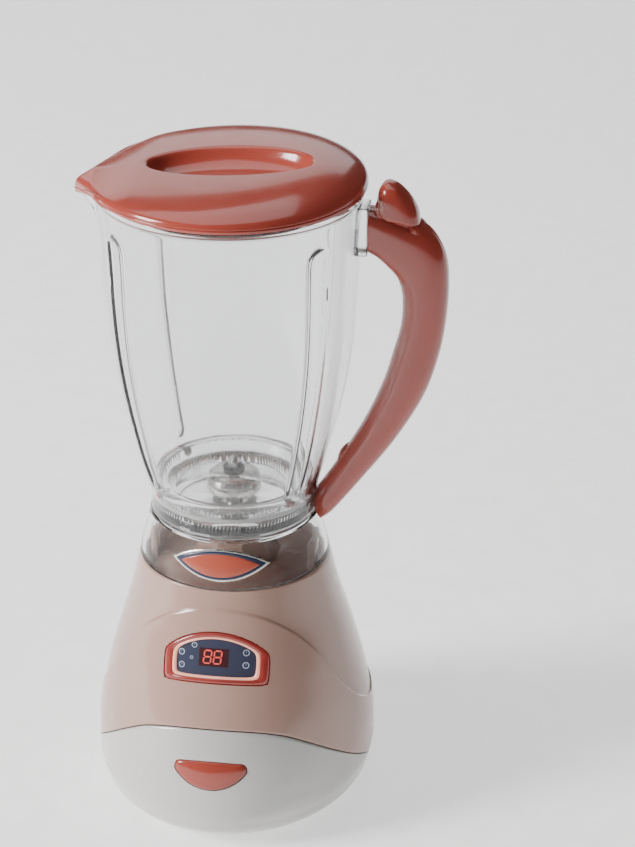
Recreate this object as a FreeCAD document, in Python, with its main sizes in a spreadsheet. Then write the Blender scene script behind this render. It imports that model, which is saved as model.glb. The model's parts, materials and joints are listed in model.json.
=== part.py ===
"""Toy blender: a clear jar with a lid, handle and blades, on a two-colour base with a motor.

Millimetres, +Z up.  The origin is on the blade axis, on the surface that the feet stand on.
-Y is the front with the display and the start button, +X the handle side, -X the spout side.
"""
import FreeCAD, Part
import math
import os
import Sketcher
from FreeCAD import Placement, Rotation, Vector

doc = FreeCAD.newDocument("toy_blender")

# ---------------------------------------------------------------- driving dimensions
# Each row is an alias and its value in millimetres (degrees for angles, a plain number for a ratio).
SIZES = [
    # base outline: height and half width of each section, and how much deeper than wide it is
    ("base_floor_z", 1.5), ("base_floor_half", 45.4),
    ("heel_z", 6.0), ("heel_half", 52.8),
    ("belly_low_z", 15.0), ("belly_low_half", 57.6),
    ("belly_z", 28.0), ("belly_half", 58.4),
    ("hip_z", 50.0), ("hip_half", 56.0),
    ("waist_z", 70.0), ("waist_half", 51.0),
    ("chest_z", 92.0), ("chest_half", 44.4),
    ("shoulder_z", 110.3), ("shoulder_half", 40.0),
    ("base_depth_ratio", 1.16), ("base_wall", 2.2),
    # the two curved lines across the base: each is a crest arc and a trough arc, seen from the side
    ("seam_crest_y", -75.8), ("seam_crest_z", 59.6), ("seam_crest_radius", 33.7),
    ("seam_trough_y", 46.7), ("seam_trough_z", 6.5), ("seam_gap", 0.3),
    ("apron_crest_y", -113.4), ("apron_crest_z", 139.1), ("apron_crest_radius", 88.4),
    ("apron_trough_y", 11.4), ("apron_trough_z", 41.0), ("apron_proud", 0.8),
    # dock on top of the base
    ("deck_z", 104.0), ("dock_z", 107.5), ("dock_half_width", 31.0), ("dock_half_depth", 26.0),
    ("dock_corner", 13.0), ("hub_foot_radius", 21.0), ("hub_neck_z", 122.0), ("hub_radius", 9.6),
    ("hub_top_z", 126.0), ("lug_outer", 35.2), ("lug_inner", 32.6), ("lug_top_z", 118.0),
    ("lug_half_width", 8.0),
    # fits
    ("gap", 0.3), ("slip", 0.15), ("running", 0.05), ("flat_gap", 0.1),
    # feet, screws and battery space in the floor of the base
    ("foot_radius", 4.5), ("foot_x", 33.0), ("foot_y", 24.0), ("foot_recess", 0.8),
    ("post_x", 18.0), ("post_front_y", -30.0), ("post_back_y", 43.0), ("post_radius", 3.6), ("screw_radius", 1.4),
    ("screw_head_radius", 2.6), ("screw_head", 1.8), ("screw_bite", 9.0),
    ("cell_radius", 7.1), ("cell_length", 50.0), ("cell_pitch", 14.7), ("cell_middle_y", 7.0),
    ("contact", 2.0), ("box_wall", 1.5), ("box_height", 17.5), ("door_half_width", 23.0),
    ("door_half_length", 27.5),
    # motor and drive
    ("motor_radius", 10.0), ("motor_half_flat", 7.6), ("motor_length", 25.0), ("motor_top_z", 96.0),
    ("motor_nose_radius", 3.0), ("motor_nose", 1.6), ("motor_shaft_radius", 1.0),
    ("cradle_wall", 2.0), ("cradle_flange", 17.6), ("cradle_screw_x", 14.8),
    ("spindle_radius", 3.0), ("spindle_foot_z", 99.0), ("spindle_top_z", 129.4),
    ("dog_radius", 6.0), ("dog_width", 2.4), ("dog_height", 2.8), ("bush_wall", 2.3),
    ("bush_length", 8.0),
    # jar outline: height and outer radius of each section
    ("jar_foot_z", 131.4), ("neck_z", 134.0), ("neck_radius", 34.5),
    ("cup_z", 147.6), ("cup_radius", 36.8), ("bowl_z", 173.7), ("bowl_radius", 43.8),
    ("body_z", 212.3), ("body_radius", 50.3), ("brim_z", 251.0), ("brim_radius", 52.2),
    ("rim_z", 274.5), ("rim_radius", 53.4), ("rim_bead", 54.2), ("rim_bead_height", 2.0),
    ("jar_wall", 2.2), ("neck_bore", 32.0), ("step_z", 146.3),
    ("flute_angle", 52.0), ("flute_radius", 5.0), ("flute_stand", 2.3),
    ("flute_foot_z", 152.0), ("flute_top_z", 256.0),
    ("spout_tip", 61.0), ("spout_mouth_radius", 9.0), ("spout_foot_z", 234.0),
    ("spout_foot_radius", 7.0), ("spout_foot_x", 39.0),
    # collar
    ("collar_top_z", 131.2), ("collar_top_radius", 34.9), ("collar_mid_z", 118.7),
    ("collar_mid_radius", 38.0), ("collar_foot_z", 110.5), ("collar_foot_radius", 40.1),
    ("collar_flange_bore", 24.0), ("badge_half_length", 19.0), ("badge_half_height", 5.9),
    ("badge_z", 121.0), ("badge_height", 1.0),
    # blade seat, shaft and blades
    ("seat_foot_z", 132.0), ("seat_floor", 2.2), ("seat_top_z", 146.0), ("seat_well", 27.2),
    ("boss_radius", 5.2), ("boss_top_z", 137.4), ("gasket_z", 138.2), ("gasket_height", 2.2),
    ("gasket_depth", 1.4), ("pin_radius", 1.5), ("pin_z", 143.6), ("pin_inner", 29.9), ("pin_outer", 35.6),
    ("shaft_radius", 1.5), ("shaft_bush_radius", 3.0), ("shaft_seal_height", 1.2),
    ("shaft_seal_radius", 4.0), ("driven_radius", 9.3), ("driven_roof", 1.8), ("driven_bore", 6.6),
    ("driven_foot_z", 126.5), ("driven_drop", 3.3), ("tooth_half_angle", 18.0), ("tooth_inner", 3.7),
    ("hub_clear", 0.8), ("blade_hub_height", 6.7), ("blade_hub_radius", 11.4),
    ("blade_hub_crown", 8.6), ("blade_hub_wall", 1.8), ("wing_disc_radius", 7.5), ("wing_sheet", 1.2),
    ("wing_reach", 24.4), ("wing_fall", 8.6), ("wing_half_width", 6.5),
    ("blade_washer_radius", 4.6), ("blade_washer", 1.0), ("blade_nut_radius", 3.4),
    ("blade_nut", 2.6), ("shaft_end", 2.1),
    # lid
    ("lid_edge_z", 274.7), ("lid_radius", 55.2), ("lid_side_z", 277.4), ("lid_turn_z", 281.8),
    ("lid_turn_radius", 52.0), ("lid_fall_z", 285.2), ("lid_fall_radius", 44.6), ("lid_crest_z", 287.4),
    ("lid_crest_radius", 33.0), ("lid_top_z", 288.2), ("lid_wall", 2.0),
    ("beak_tip", 64.8), ("beak_tip_radius", 3.2), ("beak_droop", 8.6), ("beak_root", 50.0), ("beak_tip_face", 4.6),
    ("crown_start", 24.0), ("crown_end", 7.0), ("crown_rise", 1.2),
    ("grip_half_length", 36.0), ("grip_half_width", 25.5), ("grip_floor_z", 276.4),
    ("grip_lip", 4.0), ("plug_radius", 50.0), ("plug_wall", 1.8), ("plug_foot_z", 267.5),
    ("seal_z", 269.2), ("seal_height", 2.6), ("seal_radius", 50.8), ("seal_seat", 0.5),
    # handle
    ("core_radius", 5.4), ("handle_screw_y", 3.0), ("bracket_reach", 56.2),
    ("bracket_half_width", 7.0), ("bracket_low_z", 245.5), ("bracket_high_z", 260.5),
    ("tongue_reach", 61.5), ("tongue_half_width", 4.0), ("tongue_low_z", 251.2),
    ("tongue_high_z", 257.4), ("lug_reach", 40.0),
    ("thumb_half_width", 7.2), ("thumb_pivot_x", 70.5), ("thumb_pivot_z", 254.6),
    ("thumb_travel", 4.0), ("thumb_stem_half_width", 2.6), ("thumb_stem_radius", 3.4),
    ("thumb_pin_radius", 1.25), ("thumb_spring_radius", 2.3), ("thumb_spring_width", 1.5),
    ("thumb_round", 3.2), ("thumb_pin_half", 6.4),
    # display and start button
    ("display_z", 83.6), ("display_half_width", 22.2), ("display_low", 10.3), ("display_side", 3.0),
    ("display_crown", 11.0), ("display_corner", 4.0), ("display_tilt", 22.0), ("frame_width", 3.2),
    ("frame_depth", 3.4), ("panel_sheet", 1.4), ("panel_sink", 1.0), ("led_length", 15.0),
    ("led_height", 10.0), ("led_depth", 4.0), ("board_length", 30.0), ("board_height", 12.0),
    ("board_sheet", 1.6),
    ("button_half_width", 15.4), ("button_top_z", 43.0), ("button_low_z", 31.2),
    ("button_side_z", 38.6), ("button_proud", 1.4), ("button_travel", 2.0), ("button_lip", 1.6),
    ("button_back_y", -60.0), ("switch_face_y", -53.5), ("switch_size", 10.0), ("switch_depth", 6.0),
    ("switch_plunger", 2.0), ("switch_stand", 2.5), ("switch_root", 1.0), ("spring_radius", 4.6),
    ("spring_wall", 0.9), ("bracket_sheet", 2.2),
]

sheet = doc.addObject("Spreadsheet::Sheet", "Sizes")
for row, (alias, value) in enumerate(SIZES, start=1):
    sheet.set("A%d" % row, alias)
    sheet.set("B%d" % row, str(value))
    sheet.setAlias("B%d" % row, alias)
doc.recompute()


class Size(float):
    """A length that knows both its value and the sheet expression it comes from."""

    def __new__(cls, value, text):
        size = float.__new__(cls, value)
        size.text = text
        return size

    def __add__(self, other):
        return Size(float(self) + float(other), "(%s + %s)" % (self.text, text_of(other)))

    def __sub__(self, other):
        return Size(float(self) - float(other), "(%s - %s)" % (self.text, text_of(other)))

    def __mul__(self, other):
        return Size(float(self) * float(other), "(%s * %s)" % (self.text, text_of(other)))

    def __truediv__(self, other):
        return Size(float(self) / float(other), "(%s / %s)" % (self.text, text_of(other)))

    def __neg__(self):
        return Size(-float(self), "(0 - %s)" % self.text)


def text_of(number):
    """Expression text of a Size or of a plain number."""
    return number.text if isinstance(number, Size) else repr(float(number))


class Sheet:
    """Reads the spreadsheet: s.jar_wall is the Size held by the cell of that name."""

    def __getattr__(self, alias):
        return Size(float(getattr(sheet, alias)), "Sizes." + alias)


s = Sheet()
ZERO = Size(0.0, "0")


# ---------------------------------------------------------------- bound sketches and primitives
def bind(obj, path, size):
    """Set one property now and tie it to the sheet."""
    obj.setExpression(path, text_of(size))


def origin_item(body, role):
    """The body's own origin plane or axis of that role."""
    return [item for item in body.Origin.OriginFeatures if item.Role == role][0]


def sketch(body, name, plane, outline):
    """A closed polygon whose corners are each placed by two bound distances."""
    made = body.newObject("Sketcher::SketchObject", name)
    made.AttachmentSupport = (origin_item(body, plane), [""])
    made.MapMode = "FlatFace"
    add_loop(made, outline)
    return made


def add_loop(made, outline):
    """Add one polygon to a sketch, with a bound position for each corner."""
    first = made.GeometryCount
    count = len(outline)
    for i in range(count):
        start, end = outline[i], outline[(i + 1) % count]
        made.addGeometry(Part.LineSegment(Vector(start[0], start[1], 0), Vector(end[0], end[1], 0)))
    for i in range(count):
        made.addConstraint(Sketcher.Constraint("Coincident", first + i, 2, first + (i + 1) % count, 1))
    for i, (across, up) in enumerate(outline):
        for kind, size in (("DistanceX", across), ("DistanceY", up)):
            index = made.addConstraint(Sketcher.Constraint(kind, first + i, 1, float(size)))
            if isinstance(size, Size) and size.text != "0":
                made.setExpression("Constraints[%d]" % index, size.text)


def turned(label, outline):
    """A body turned about the Z axis from (radius, height) corners."""
    body = doc.addObject("PartDesign::Body", label)
    profile = sketch(body, label + "_profile", "XZ_Plane", outline)
    turn = body.newObject("PartDesign::Revolution", label + "_turn")
    turn.Profile = profile
    turn.ReferenceAxis = (profile, ["V_Axis"])
    turn.Angle = 360.0
    return body


def tube(label, inner, outer, low, high):
    """A plain ring on the Z axis."""
    return turned(label, [(inner, low), (outer, low), (outer, high), (inner, high)])


def disc(label, radius, low, high):
    """A plain round piece on the Z axis."""
    return turned(label, [(ZERO, low), (radius, low), (radius, high), (ZERO, high)])


def block(name, low, high):
    """A Part::Box between two corners, each side bound to the sheet."""
    box = doc.addObject("Part::Box", name)
    for axis, side, a, b in zip("xyz", ("Length", "Width", "Height"), low, high):
        bind(box, side, b - a)
        bind(box, ".Placement.Base." + axis, a)
    return box


def rod(name, radius, length, base, rotation=None):
    """A Part::Cylinder whose size and place are bound to the sheet."""
    cylinder = doc.addObject("Part::Cylinder", name)
    bind(cylinder, "Radius", radius)
    bind(cylinder, "Height", length)
    if rotation is not None:
        cylinder.Placement = Placement(Vector(), rotation)
    for axis, value in zip("xyz", base):
        bind(cylinder, ".Placement.Base." + axis, value)
    return cylinder


def cut(label, base, tool):
    """A Part::Cut of two document objects."""
    result = doc.addObject("Part::Cut", label)
    result.Base = base
    result.Tool = tool
    return result


def joined(label, shapes):
    """A Part::MultiFuse of document objects, which may be separate solids."""
    result = doc.addObject("Part::MultiFuse", label)
    result.Shapes = shapes
    return result


def feature(label, shape):
    """A Part::Feature for a form that sketches and primitives cannot give."""
    made = doc.addObject("Part::Feature", label)
    made.Shape = shape
    return made


def solid_of(shape):
    """The one solid in a shape, after small edges are merged."""
    if len(shape.Solids) != 1:
        raise ValueError("expected one solid, found %d" % len(shape.Solids))
    return shape.Solids[0]


def outward(solid):
    """The same solid with its faces pointing outwards."""
    if solid.Volume < 0:
        solid.reverse()
    return solid


def prism(points, direction):
    """Extrude a closed flat polygon."""
    wire = Part.makePolygon([Vector(*p) for p in points] + [Vector(*points[0])])
    return outward(Part.Face(wire).extrude(Vector(*direction)))


def slab(edges, half_width):
    """Extrude a closed chain of edges in the XZ plane to both sides of it."""
    face = Part.Face(Part.Wire(Part.sortEdges(edges)[0]))
    face.translate(Vector(0, -half_width, 0))
    return outward(face.extrude(Vector(0, 2 * half_width, 0)))


def round_bar(radius, start, end):
    """A plain cylinder between two points."""
    axis = Vector(*end) - Vector(*start)
    return Part.makeCylinder(radius, axis.Length, Vector(*start), axis)


def spun(edges):
    """Turn a closed chain of edges in the XZ plane about the Z axis."""
    return Part.Face(Part.Wire(edges)).revolve(Vector(0, 0, 0), Vector(0, 0, 1), 360)


def line(a, b):
    """An edge between two (radius, height) points of the XZ plane."""
    return Part.LineSegment(Vector(a[0], 0, a[1]), Vector(b[0], 0, b[1])).toShape()


def curve(points):
    """A smooth edge through (radius, height) points of the XZ plane."""
    spline = Part.BSplineCurve()
    spline.interpolate([Vector(p[0], 0, p[1]) for p in points])
    return spline.toShape()


# ---------------------------------------------------------------- base shells
BASE_SECTIONS = ("base_floor", "heel", "belly_low", "belly", "hip", "waist", "chest", "shoulder")


def base_form(inset, low=None):
    """The smooth oval body of the base, smaller by inset all round, closed at both ends."""
    wires = []
    for name in BASE_SECTIONS:
        z = getattr(s, name + "_z")
        half = getattr(s, name + "_half")
        above = max(0.0, min(1.0, (s.shoulder_z - z) / (s.shoulder_z - s.belly_z)))
        depth = half * (1.0 + (s.base_depth_ratio - 1.0) * above)
        if low is not None and name == "base_floor":
            z = low
        lift = 0.001 if depth <= half else 0.0
        oval = Part.Ellipse(Vector(0, depth - inset + lift, z), Vector(half - inset, 0, z), Vector(0, 0, z))
        wires.append(Part.Wire([oval.toShape()]))
    return Part.makeLoft(wires, True, False)


def below_line(name, lift):
    """Everything under one of the two curved lines, lifted a little."""
    crest_y, crest_z = getattr(s, name + "_crest_y"), getattr(s, name + "_crest_z") + lift
    trough_y, trough_z = getattr(s, name + "_trough_y"), getattr(s, name + "_trough_z") + lift
    crest_radius = getattr(s, name + "_crest_radius")
    run, fall = trough_y - crest_y, crest_z - trough_z
    both = (run ** 2 + fall ** 2) / (2 * fall)
    trough_radius = both - crest_radius
    turn = math.asin(run / both)
    middle = Vector(0, crest_y + crest_radius * math.sin(turn), crest_z - crest_radius * (1 - math.cos(turn)))
    half = turn / 2
    on_crest = Vector(0, crest_y + crest_radius * math.sin(half),
                      crest_z - crest_radius * (1 - math.cos(half)))
    on_trough = Vector(0, trough_y - trough_radius * math.sin(half),
                       trough_z + trough_radius * (1 - math.cos(half)))
    crest, trough = Vector(0, crest_y, crest_z), Vector(0, trough_y, trough_z)
    far = 2.5 * s.belly_half
    corners = [Vector(0, far, trough_z), Vector(0, far, -far), Vector(0, -far, -far), Vector(0, -far, crest_z)]
    edges = [Part.Arc(crest, on_crest, middle).toShape(), Part.Arc(middle, on_trough, trough).toShape()]
    stops = [trough] + corners + [crest]
    for a, b in zip(stops, stops[1:]):
        edges.append(Part.LineSegment(a, b).toShape())
    face = Part.Face(Part.Wire(edges))
    face.translate(Vector(-far, 0, 0))
    return face.extrude(Vector(2 * far, 0, 0))


def display_place():
    """Placement whose Z is the outward normal of the display and whose Y runs up the slope."""
    tilt = math.radians(s.display_tilt)
    out = Vector(0, -math.cos(tilt), math.sin(tilt))
    up = Vector(0, math.sin(tilt), math.cos(tilt))
    matrix = FreeCAD.Matrix(1, up.x, out.x, 0, 0, up.y, out.y, display_y, 0, up.z, out.z, s.display_z, 0, 0, 0, 1)
    return Placement(matrix)


def display_prism(inset, low, high):
    """The window outline, flat below and arched above, extruded along the display's normal."""
    half, bottom = s.display_half_width - inset, -s.display_low + inset
    side, crown = s.display_side, s.display_crown - inset
    p = [Vector(-half, bottom, low), Vector(half, bottom, low), Vector(half, side, low),
         Vector(-half, side, low)]
    arch = Part.Arc(p[2], Vector(0, crown, low), p[3]).toShape()
    edges = [Part.makeLine(p[0], p[1]), Part.makeLine(p[1], p[2]), arch, Part.makeLine(p[3], p[0])]
    body = Part.Face(Part.Wire(edges)).extrude(Vector(0, 0, high - low))
    corner = max(0.8, s.display_corner - inset)
    upright = [e for e in body.Edges if abs(e.tangentAt(e.FirstParameter).z) > 0.9 and
               isinstance(e.Curve, Part.Line)]
    body = body.makeFillet(corner, upright)
    body.Placement = display_place().multiply(body.Placement)
    return body


def button_prism(inset, near, far):
    """The half-moon outline, flat above and round below, extruded along Y."""
    half = s.button_half_width - inset
    top, low, side = s.button_top_z - inset, s.button_low_z + inset, s.button_side_z
    p = [Vector(-half, near, side), Vector(half, near, side), Vector(half, near, top), Vector(-half, near, top)]
    arch = Part.Arc(p[0], Vector(0, near, low), p[1]).toShape()
    edges = [arch, Part.makeLine(p[1], p[2]), Part.makeLine(p[2], p[3]), Part.makeLine(p[3], p[0])]
    body = Part.Face(Part.Wire(edges)).extrude(Vector(0, far - near, 0))
    upper = [e for e in body.Edges if isinstance(e.Curve, Part.Line) and
             abs(e.tangentAt(e.FirstParameter).y) > 0.9 and e.Vertexes[0].Point.z > side + 0.1]
    return body.makeFillet(2.5, upper)


def depth_at(z, inset=0.0):
    """Half depth of the base at a height, found on the smooth form itself."""
    ray = Part.makeLine(Vector(0, -2 * s.belly_half, z), Vector(0, 0, z))
    return -outer_form.common(ray).BoundBox.YMin - inset


outer_form = base_form(0.0)
proud_form = base_form(-s.apron_proud)
inner_form = base_form(s.base_wall, low=s.base_floor_z + s.base_wall)
display_y = -depth_at(s.display_z)
POSTS = [(x, y) for x in (-s.post_x, s.post_x) for y in (s.post_front_y, s.post_back_y)]


def dock_form(inset):
    """Rounded square dock with the eight-sided hub foot and the round hub above it."""
    half, deep = s.dock_half_width - inset, s.dock_half_depth - inset
    low = s.deck_z - s.base_wall
    body = Part.makeBox(2 * half, 2 * deep, s.dock_z - inset - low, Vector(-half, -deep, low))
    upright = [e for e in body.Edges if abs(e.tangentAt(0).z) > 0.9]
    body = body.makeFillet(s.dock_corner - inset, upright)
    rings = []
    for radius, z in ((s.hub_foot_radius - inset, s.dock_z - 1.0 - inset), (s.hub_radius - inset, s.hub_neck_z)):
        ring = [Vector(radius * math.cos(math.radians(22.5 + 45 * k)),
                       radius * math.sin(math.radians(22.5 + 45 * k)), z) for k in range(8)]
        rings.append(Part.makePolygon(ring + [ring[0]]))
    body = body.fuse(Part.makeLoft(rings, True, True))
    top = s.hub_top_z if inset == 0.0 else s.hub_neck_z + 1.0
    return body.fuse(Part.makeCylinder(s.hub_radius - inset, top - s.dock_z, Vector(0, 0, s.dock_z)))


def dock_lug(side):
    """Upright tab that steadies the jar's collar, on the left or right of the dock."""
    ring = Part.makeCylinder(s.lug_outer, s.lug_top_z - s.deck_z + 1.0, Vector(0, 0, s.deck_z - 1.0))
    ring = ring.cut(Part.makeCylinder(s.lug_inner, s.lug_top_z, Vector(0, 0, s.deck_z - 1.0)))
    window = Part.makeBox(s.lug_outer, 2 * s.lug_half_width, s.lug_top_z, Vector(0, -s.lug_half_width, s.deck_z - 1))
    slot = Part.makeBox(s.lug_outer, 2.0, s.lug_top_z, Vector(0, -1.0, s.deck_z + 3.0))
    tab = ring.common(window).cut(slot)
    if side < 0:
        tab.rotate(Vector(0, 0, 0), Vector(0, 0, 1), 180)
    return tab


def make_base_upper():
    """Pink shell: oval walls above the seam, raised apron, deck, dock, hub, lugs and screw posts."""
    skin = outer_form.fuse(proud_form.common(below_line("apron", 0.0)))
    shell = skin.cut(inner_form)
    opening = Part.makeCylinder(s.shoulder_half - s.base_wall, 2 * s.base_wall + 4, Vector(0, 0, s.shoulder_z - 4))
    deck_low = s.deck_z - s.base_wall
    deck = inner_form.common(Part.makeBox(200, 200, s.base_wall, Vector(-100, -100, deck_low)))
    shell = shell.cut(opening).fuse(deck)
    shell = shell.fuse(dock_form(0.0))
    shell = shell.cut(dock_form(s.base_wall))
    for side in (-1, 1):
        shell = shell.fuse(dock_lug(side))
    for x in (-s.cradle_screw_x, s.cradle_screw_x):
        boss = Part.makeCylinder(s.post_radius - 0.4, s.dock_z - s.base_wall - deck_low + 0.5, Vector(x, 0, deck_low))
        shell = shell.fuse(boss)
    for x, y in POSTS:
        post = Part.makeCylinder(s.post_radius, s.deck_z, Vector(x, y, s.base_floor_z))
        shell = shell.fuse(post.common(outer_form))
    shell = shell.cut(below_line("seam", s.seam_gap / 2))
    bush_bore = s.spindle_radius + s.running + s.bush_wall + s.slip / 3
    shell = shell.cut(Part.makeCylinder(bush_bore, s.bush_length, Vector(0, 0, s.hub_top_z - s.bush_length)))
    shell = shell.cut(Part.makeCylinder(s.spindle_radius + 1.0, s.hub_top_z, Vector(0, 0, deck_low - 1)))
    for x in (-s.cradle_screw_x, s.cradle_screw_x):
        shell = shell.cut(Part.makeCylinder(s.screw_radius, 3.4, Vector(x, 0, deck_low - 0.5)))
    for x, y in POSTS:
        seam = seam_height(y)
        shell = shell.cut(Part.makeCylinder(s.screw_radius, s.screw_bite + 5.0, Vector(x, y, seam - 4.0)))
    return solid_of(shell.cut(display_prism(0.0, -9.0, 9.0)))


def seam_height(y):
    """Height of the seam line at a depth."""
    probe = Part.makeLine(Vector(0, y, -5), Vector(0, y, s.seam_crest_z + 5))
    return below_line("seam", 0.0).common(probe).BoundBox.ZMax


def make_base_lower():
    """White shell under the seam: floor, screw posts, switch bracket, battery opening, button hole."""
    cap = below_line("seam", -s.seam_gap / 2)
    shell = proud_form.cut(inner_form).common(cap)
    for x, y in POSTS:
        post = Part.makeCylinder(s.post_radius, s.seam_crest_z, Vector(x, y, s.base_floor_z + 1.0))
        shell = shell.fuse(post.common(outer_form).common(cap))
    rail = Part.makeBox(2 * s.switch_size, s.bracket_sheet, s.button_top_z,
                        Vector(-s.switch_size, s.switch_face_y + s.switch_depth + s.flat_gap, s.base_floor_z + 1))
    shell = shell.fuse(rail.common(cap))
    for x, y in POSTS:
        shell = shell.cut(Part.makeCylinder(s.screw_radius + s.slip, s.seam_crest_z, Vector(x, y, 0)))
        sink = s.screw_head + 0.4
        shell = shell.cut(Part.makeCylinder(s.screw_head_radius + s.slip, sink, Vector(x, y, s.base_floor_z)))
    for x in (-s.foot_x, s.foot_x):
        for y in (-s.foot_y, s.foot_y):
            shell = shell.cut(Part.makeCylinder(s.foot_radius + s.slip, s.foot_recess, Vector(x, y, s.base_floor_z)))
    hole = Part.makeBox(2 * s.door_half_width, 2 * s.door_half_length, 10,
                        Vector(-s.door_half_width, s.cell_middle_y - s.door_half_length, 0))
    return solid_of(shell.cut(hole).cut(button_prism(0.0, -100, s.button_back_y + 3)))


base_upper = feature("base_upper", make_base_upper())
base_lower = feature("base_lower", make_base_lower())


# ---------------------------------------------------------------- pieces carried by the base
def make_feet():
    """Four rubber feet, each seated in its recess in the floor."""
    pads = []
    for x in (-s.foot_x, s.foot_x):
        for y in (-s.foot_y, s.foot_y):
            high = s.base_floor_z + s.foot_recess - s.flat_gap
            name = "foot_%d" % (len(pads) + 1)
            pads.append(rod(name, s.foot_radius, high, (x, y, ZERO)))
    return joined("feet", pads)


def make_base_screws():
    """Four screws from the floor up into the posts of the upper shell."""
    screws = []
    for x, y in POSTS:
        top = seam_height(y) + s.screw_bite - 1.0
        low = s.base_floor_z + s.slip
        head = Part.makeCylinder(s.screw_head_radius, s.screw_head, Vector(x, y, low))
        shank = Part.makeCylinder(s.screw_radius - s.running, top - low, Vector(x, y, low))
        cross = Part.makeBox(3.2, 0.7, 1.0, Vector(x - 1.6, y - 0.35, low - 0.2))
        cross = cross.fuse(Part.makeBox(0.7, 3.2, 1.0, Vector(x - 0.35, y - 1.6, low - 0.2)))
        screws.append(head.fuse(shank).cut(cross))
    return feature("base_screws", Part.makeCompound(screws))


def cell_rows():
    """The X of each of the three cells, side by side."""
    return [-s.cell_pitch, ZERO, s.cell_pitch]


def make_batteries():
    """Three cells lying along Y, each with its button end, alternating end for end."""
    cells = []
    for k, x in enumerate(cell_rows()):
        z = s.base_floor_z + s.base_wall + s.slip + s.cell_radius
        front = s.cell_middle_y - s.cell_length / 2
        can = Part.makeCylinder(s.cell_radius, s.cell_length - 1.5, Vector(x, front, z), Vector(0, 1, 0))
        button = Part.makeCylinder(2.7, 1.6, Vector(x, front + s.cell_length - 1.6, z), Vector(0, 1, 0))
        cell = can.fuse(button)
        if k % 2:
            cell.rotate(Vector(x, s.cell_middle_y, z), Vector(0, 0, 1), 180)
        cells.append(cell)
    return feature("batteries", Part.makeCompound(cells))


def make_battery_box():
    """Open-bottomed tray that holds the cells down on the door, with a rib between the rows."""
    inner_x = 1.5 * s.cell_pitch + s.gap
    inner_y = s.cell_length / 2 + s.contact
    low = s.base_floor_z + s.base_wall + s.flat_gap
    wall = s.box_wall
    box = block("box_outside", (-inner_x - wall, s.cell_middle_y - inner_y - wall, low),
                (inner_x + wall, s.cell_middle_y + inner_y + wall, low + s.box_height))
    space = block("box_inside", (-inner_x, s.cell_middle_y - inner_y, low - 1.0),
                  (inner_x, s.cell_middle_y + inner_y, low + s.box_height - wall))
    return cut("battery_box", box, space)


def make_battery_contacts():
    """A plate and a short coil at the ends of each cell."""
    plates = []
    inner_y = s.cell_length / 2 + s.contact
    z = s.base_floor_z + s.base_wall + s.slip + s.cell_radius
    for k, x in enumerate(cell_rows()):
        for end in (-1, 1):
            y = s.cell_middle_y + end * (inner_y - s.flat_gap)
            plate = Part.makeBox(9.0, 0.4, 9.0, Vector(x - 4.5, y - (0.4 if end > 0 else 0.0), z - 4.5))
            nose = Part.makeCylinder(3.2, s.contact - 0.5, Vector(x, y - end * 0.3, z), Vector(0, -end, 0))
            nose = nose.cut(Part.makeCylinder(2.4, s.contact, Vector(x, y - end * 0.5, z), Vector(0, -end, 0)))
            plates.append(plate.fuse(nose))
    return feature("battery_contacts", Part.makeCompound(plates))


def make_battery_door():
    """Flat door in the floor with a finger recess, a screw hole and two tabs."""
    half, length = s.door_half_width - s.gap, s.door_half_length - s.gap
    low, high = s.base_floor_z, s.base_floor_z + s.base_wall
    middle = s.cell_middle_y
    door = block("door_plate", (-half, middle - length, low), (half, middle + length, high))
    hole_y = middle + length - 4.0
    hole = rod("door_hole", s.screw_radius + s.slip, s.base_wall + 2.0, (ZERO, hole_y, low - 1.0))
    sink = rod("door_sink", s.screw_head_radius + s.slip, s.screw_head / 2, (ZERO, hole_y, low))
    grip = block("door_grip", (-s.post_x / 2, middle - length + 3.0, low - 1.0),
                 (s.post_x / 2, middle - length + 8.0, low + s.base_wall / 2))
    return cut("battery_door", door, joined("door_cuts", [hole, sink, grip]))


def make_door_screw():
    """The one screw that keeps the battery door shut."""
    y = s.cell_middle_y + s.door_half_length - s.gap - 4.0
    low = s.base_floor_z + s.flat_gap
    head = rod("door_screw_head", s.screw_head_radius, s.screw_head / 2 - s.flat_gap, (ZERO, y, low))
    shank = rod("door_screw_shank", s.screw_radius, s.base_wall - s.flat_gap, (ZERO, y, low))
    return joined("door_screw", [head, shank])


def make_motor_can():
    """Round can with two flats, a nose round the shaft and a hole along the shaft."""
    low = s.motor_top_z - s.motor_length
    can = Part.makeCylinder(s.motor_radius, s.motor_length, Vector(0, 0, low))
    flats = Part.makeBox(4 * s.motor_radius, 2 * s.motor_half_flat, s.motor_length,
                         Vector(-2 * s.motor_radius, -s.motor_half_flat, low))
    can = can.common(flats).fuse(Part.makeCylinder(s.motor_nose_radius, s.motor_nose, Vector(0, 0, s.motor_top_z)))
    bore = Part.makeCylinder(s.motor_shaft_radius + s.running, 12.0, Vector(0, 0, s.motor_top_z - 9.0))
    return feature("motor_can", can.cut(bore))


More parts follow.
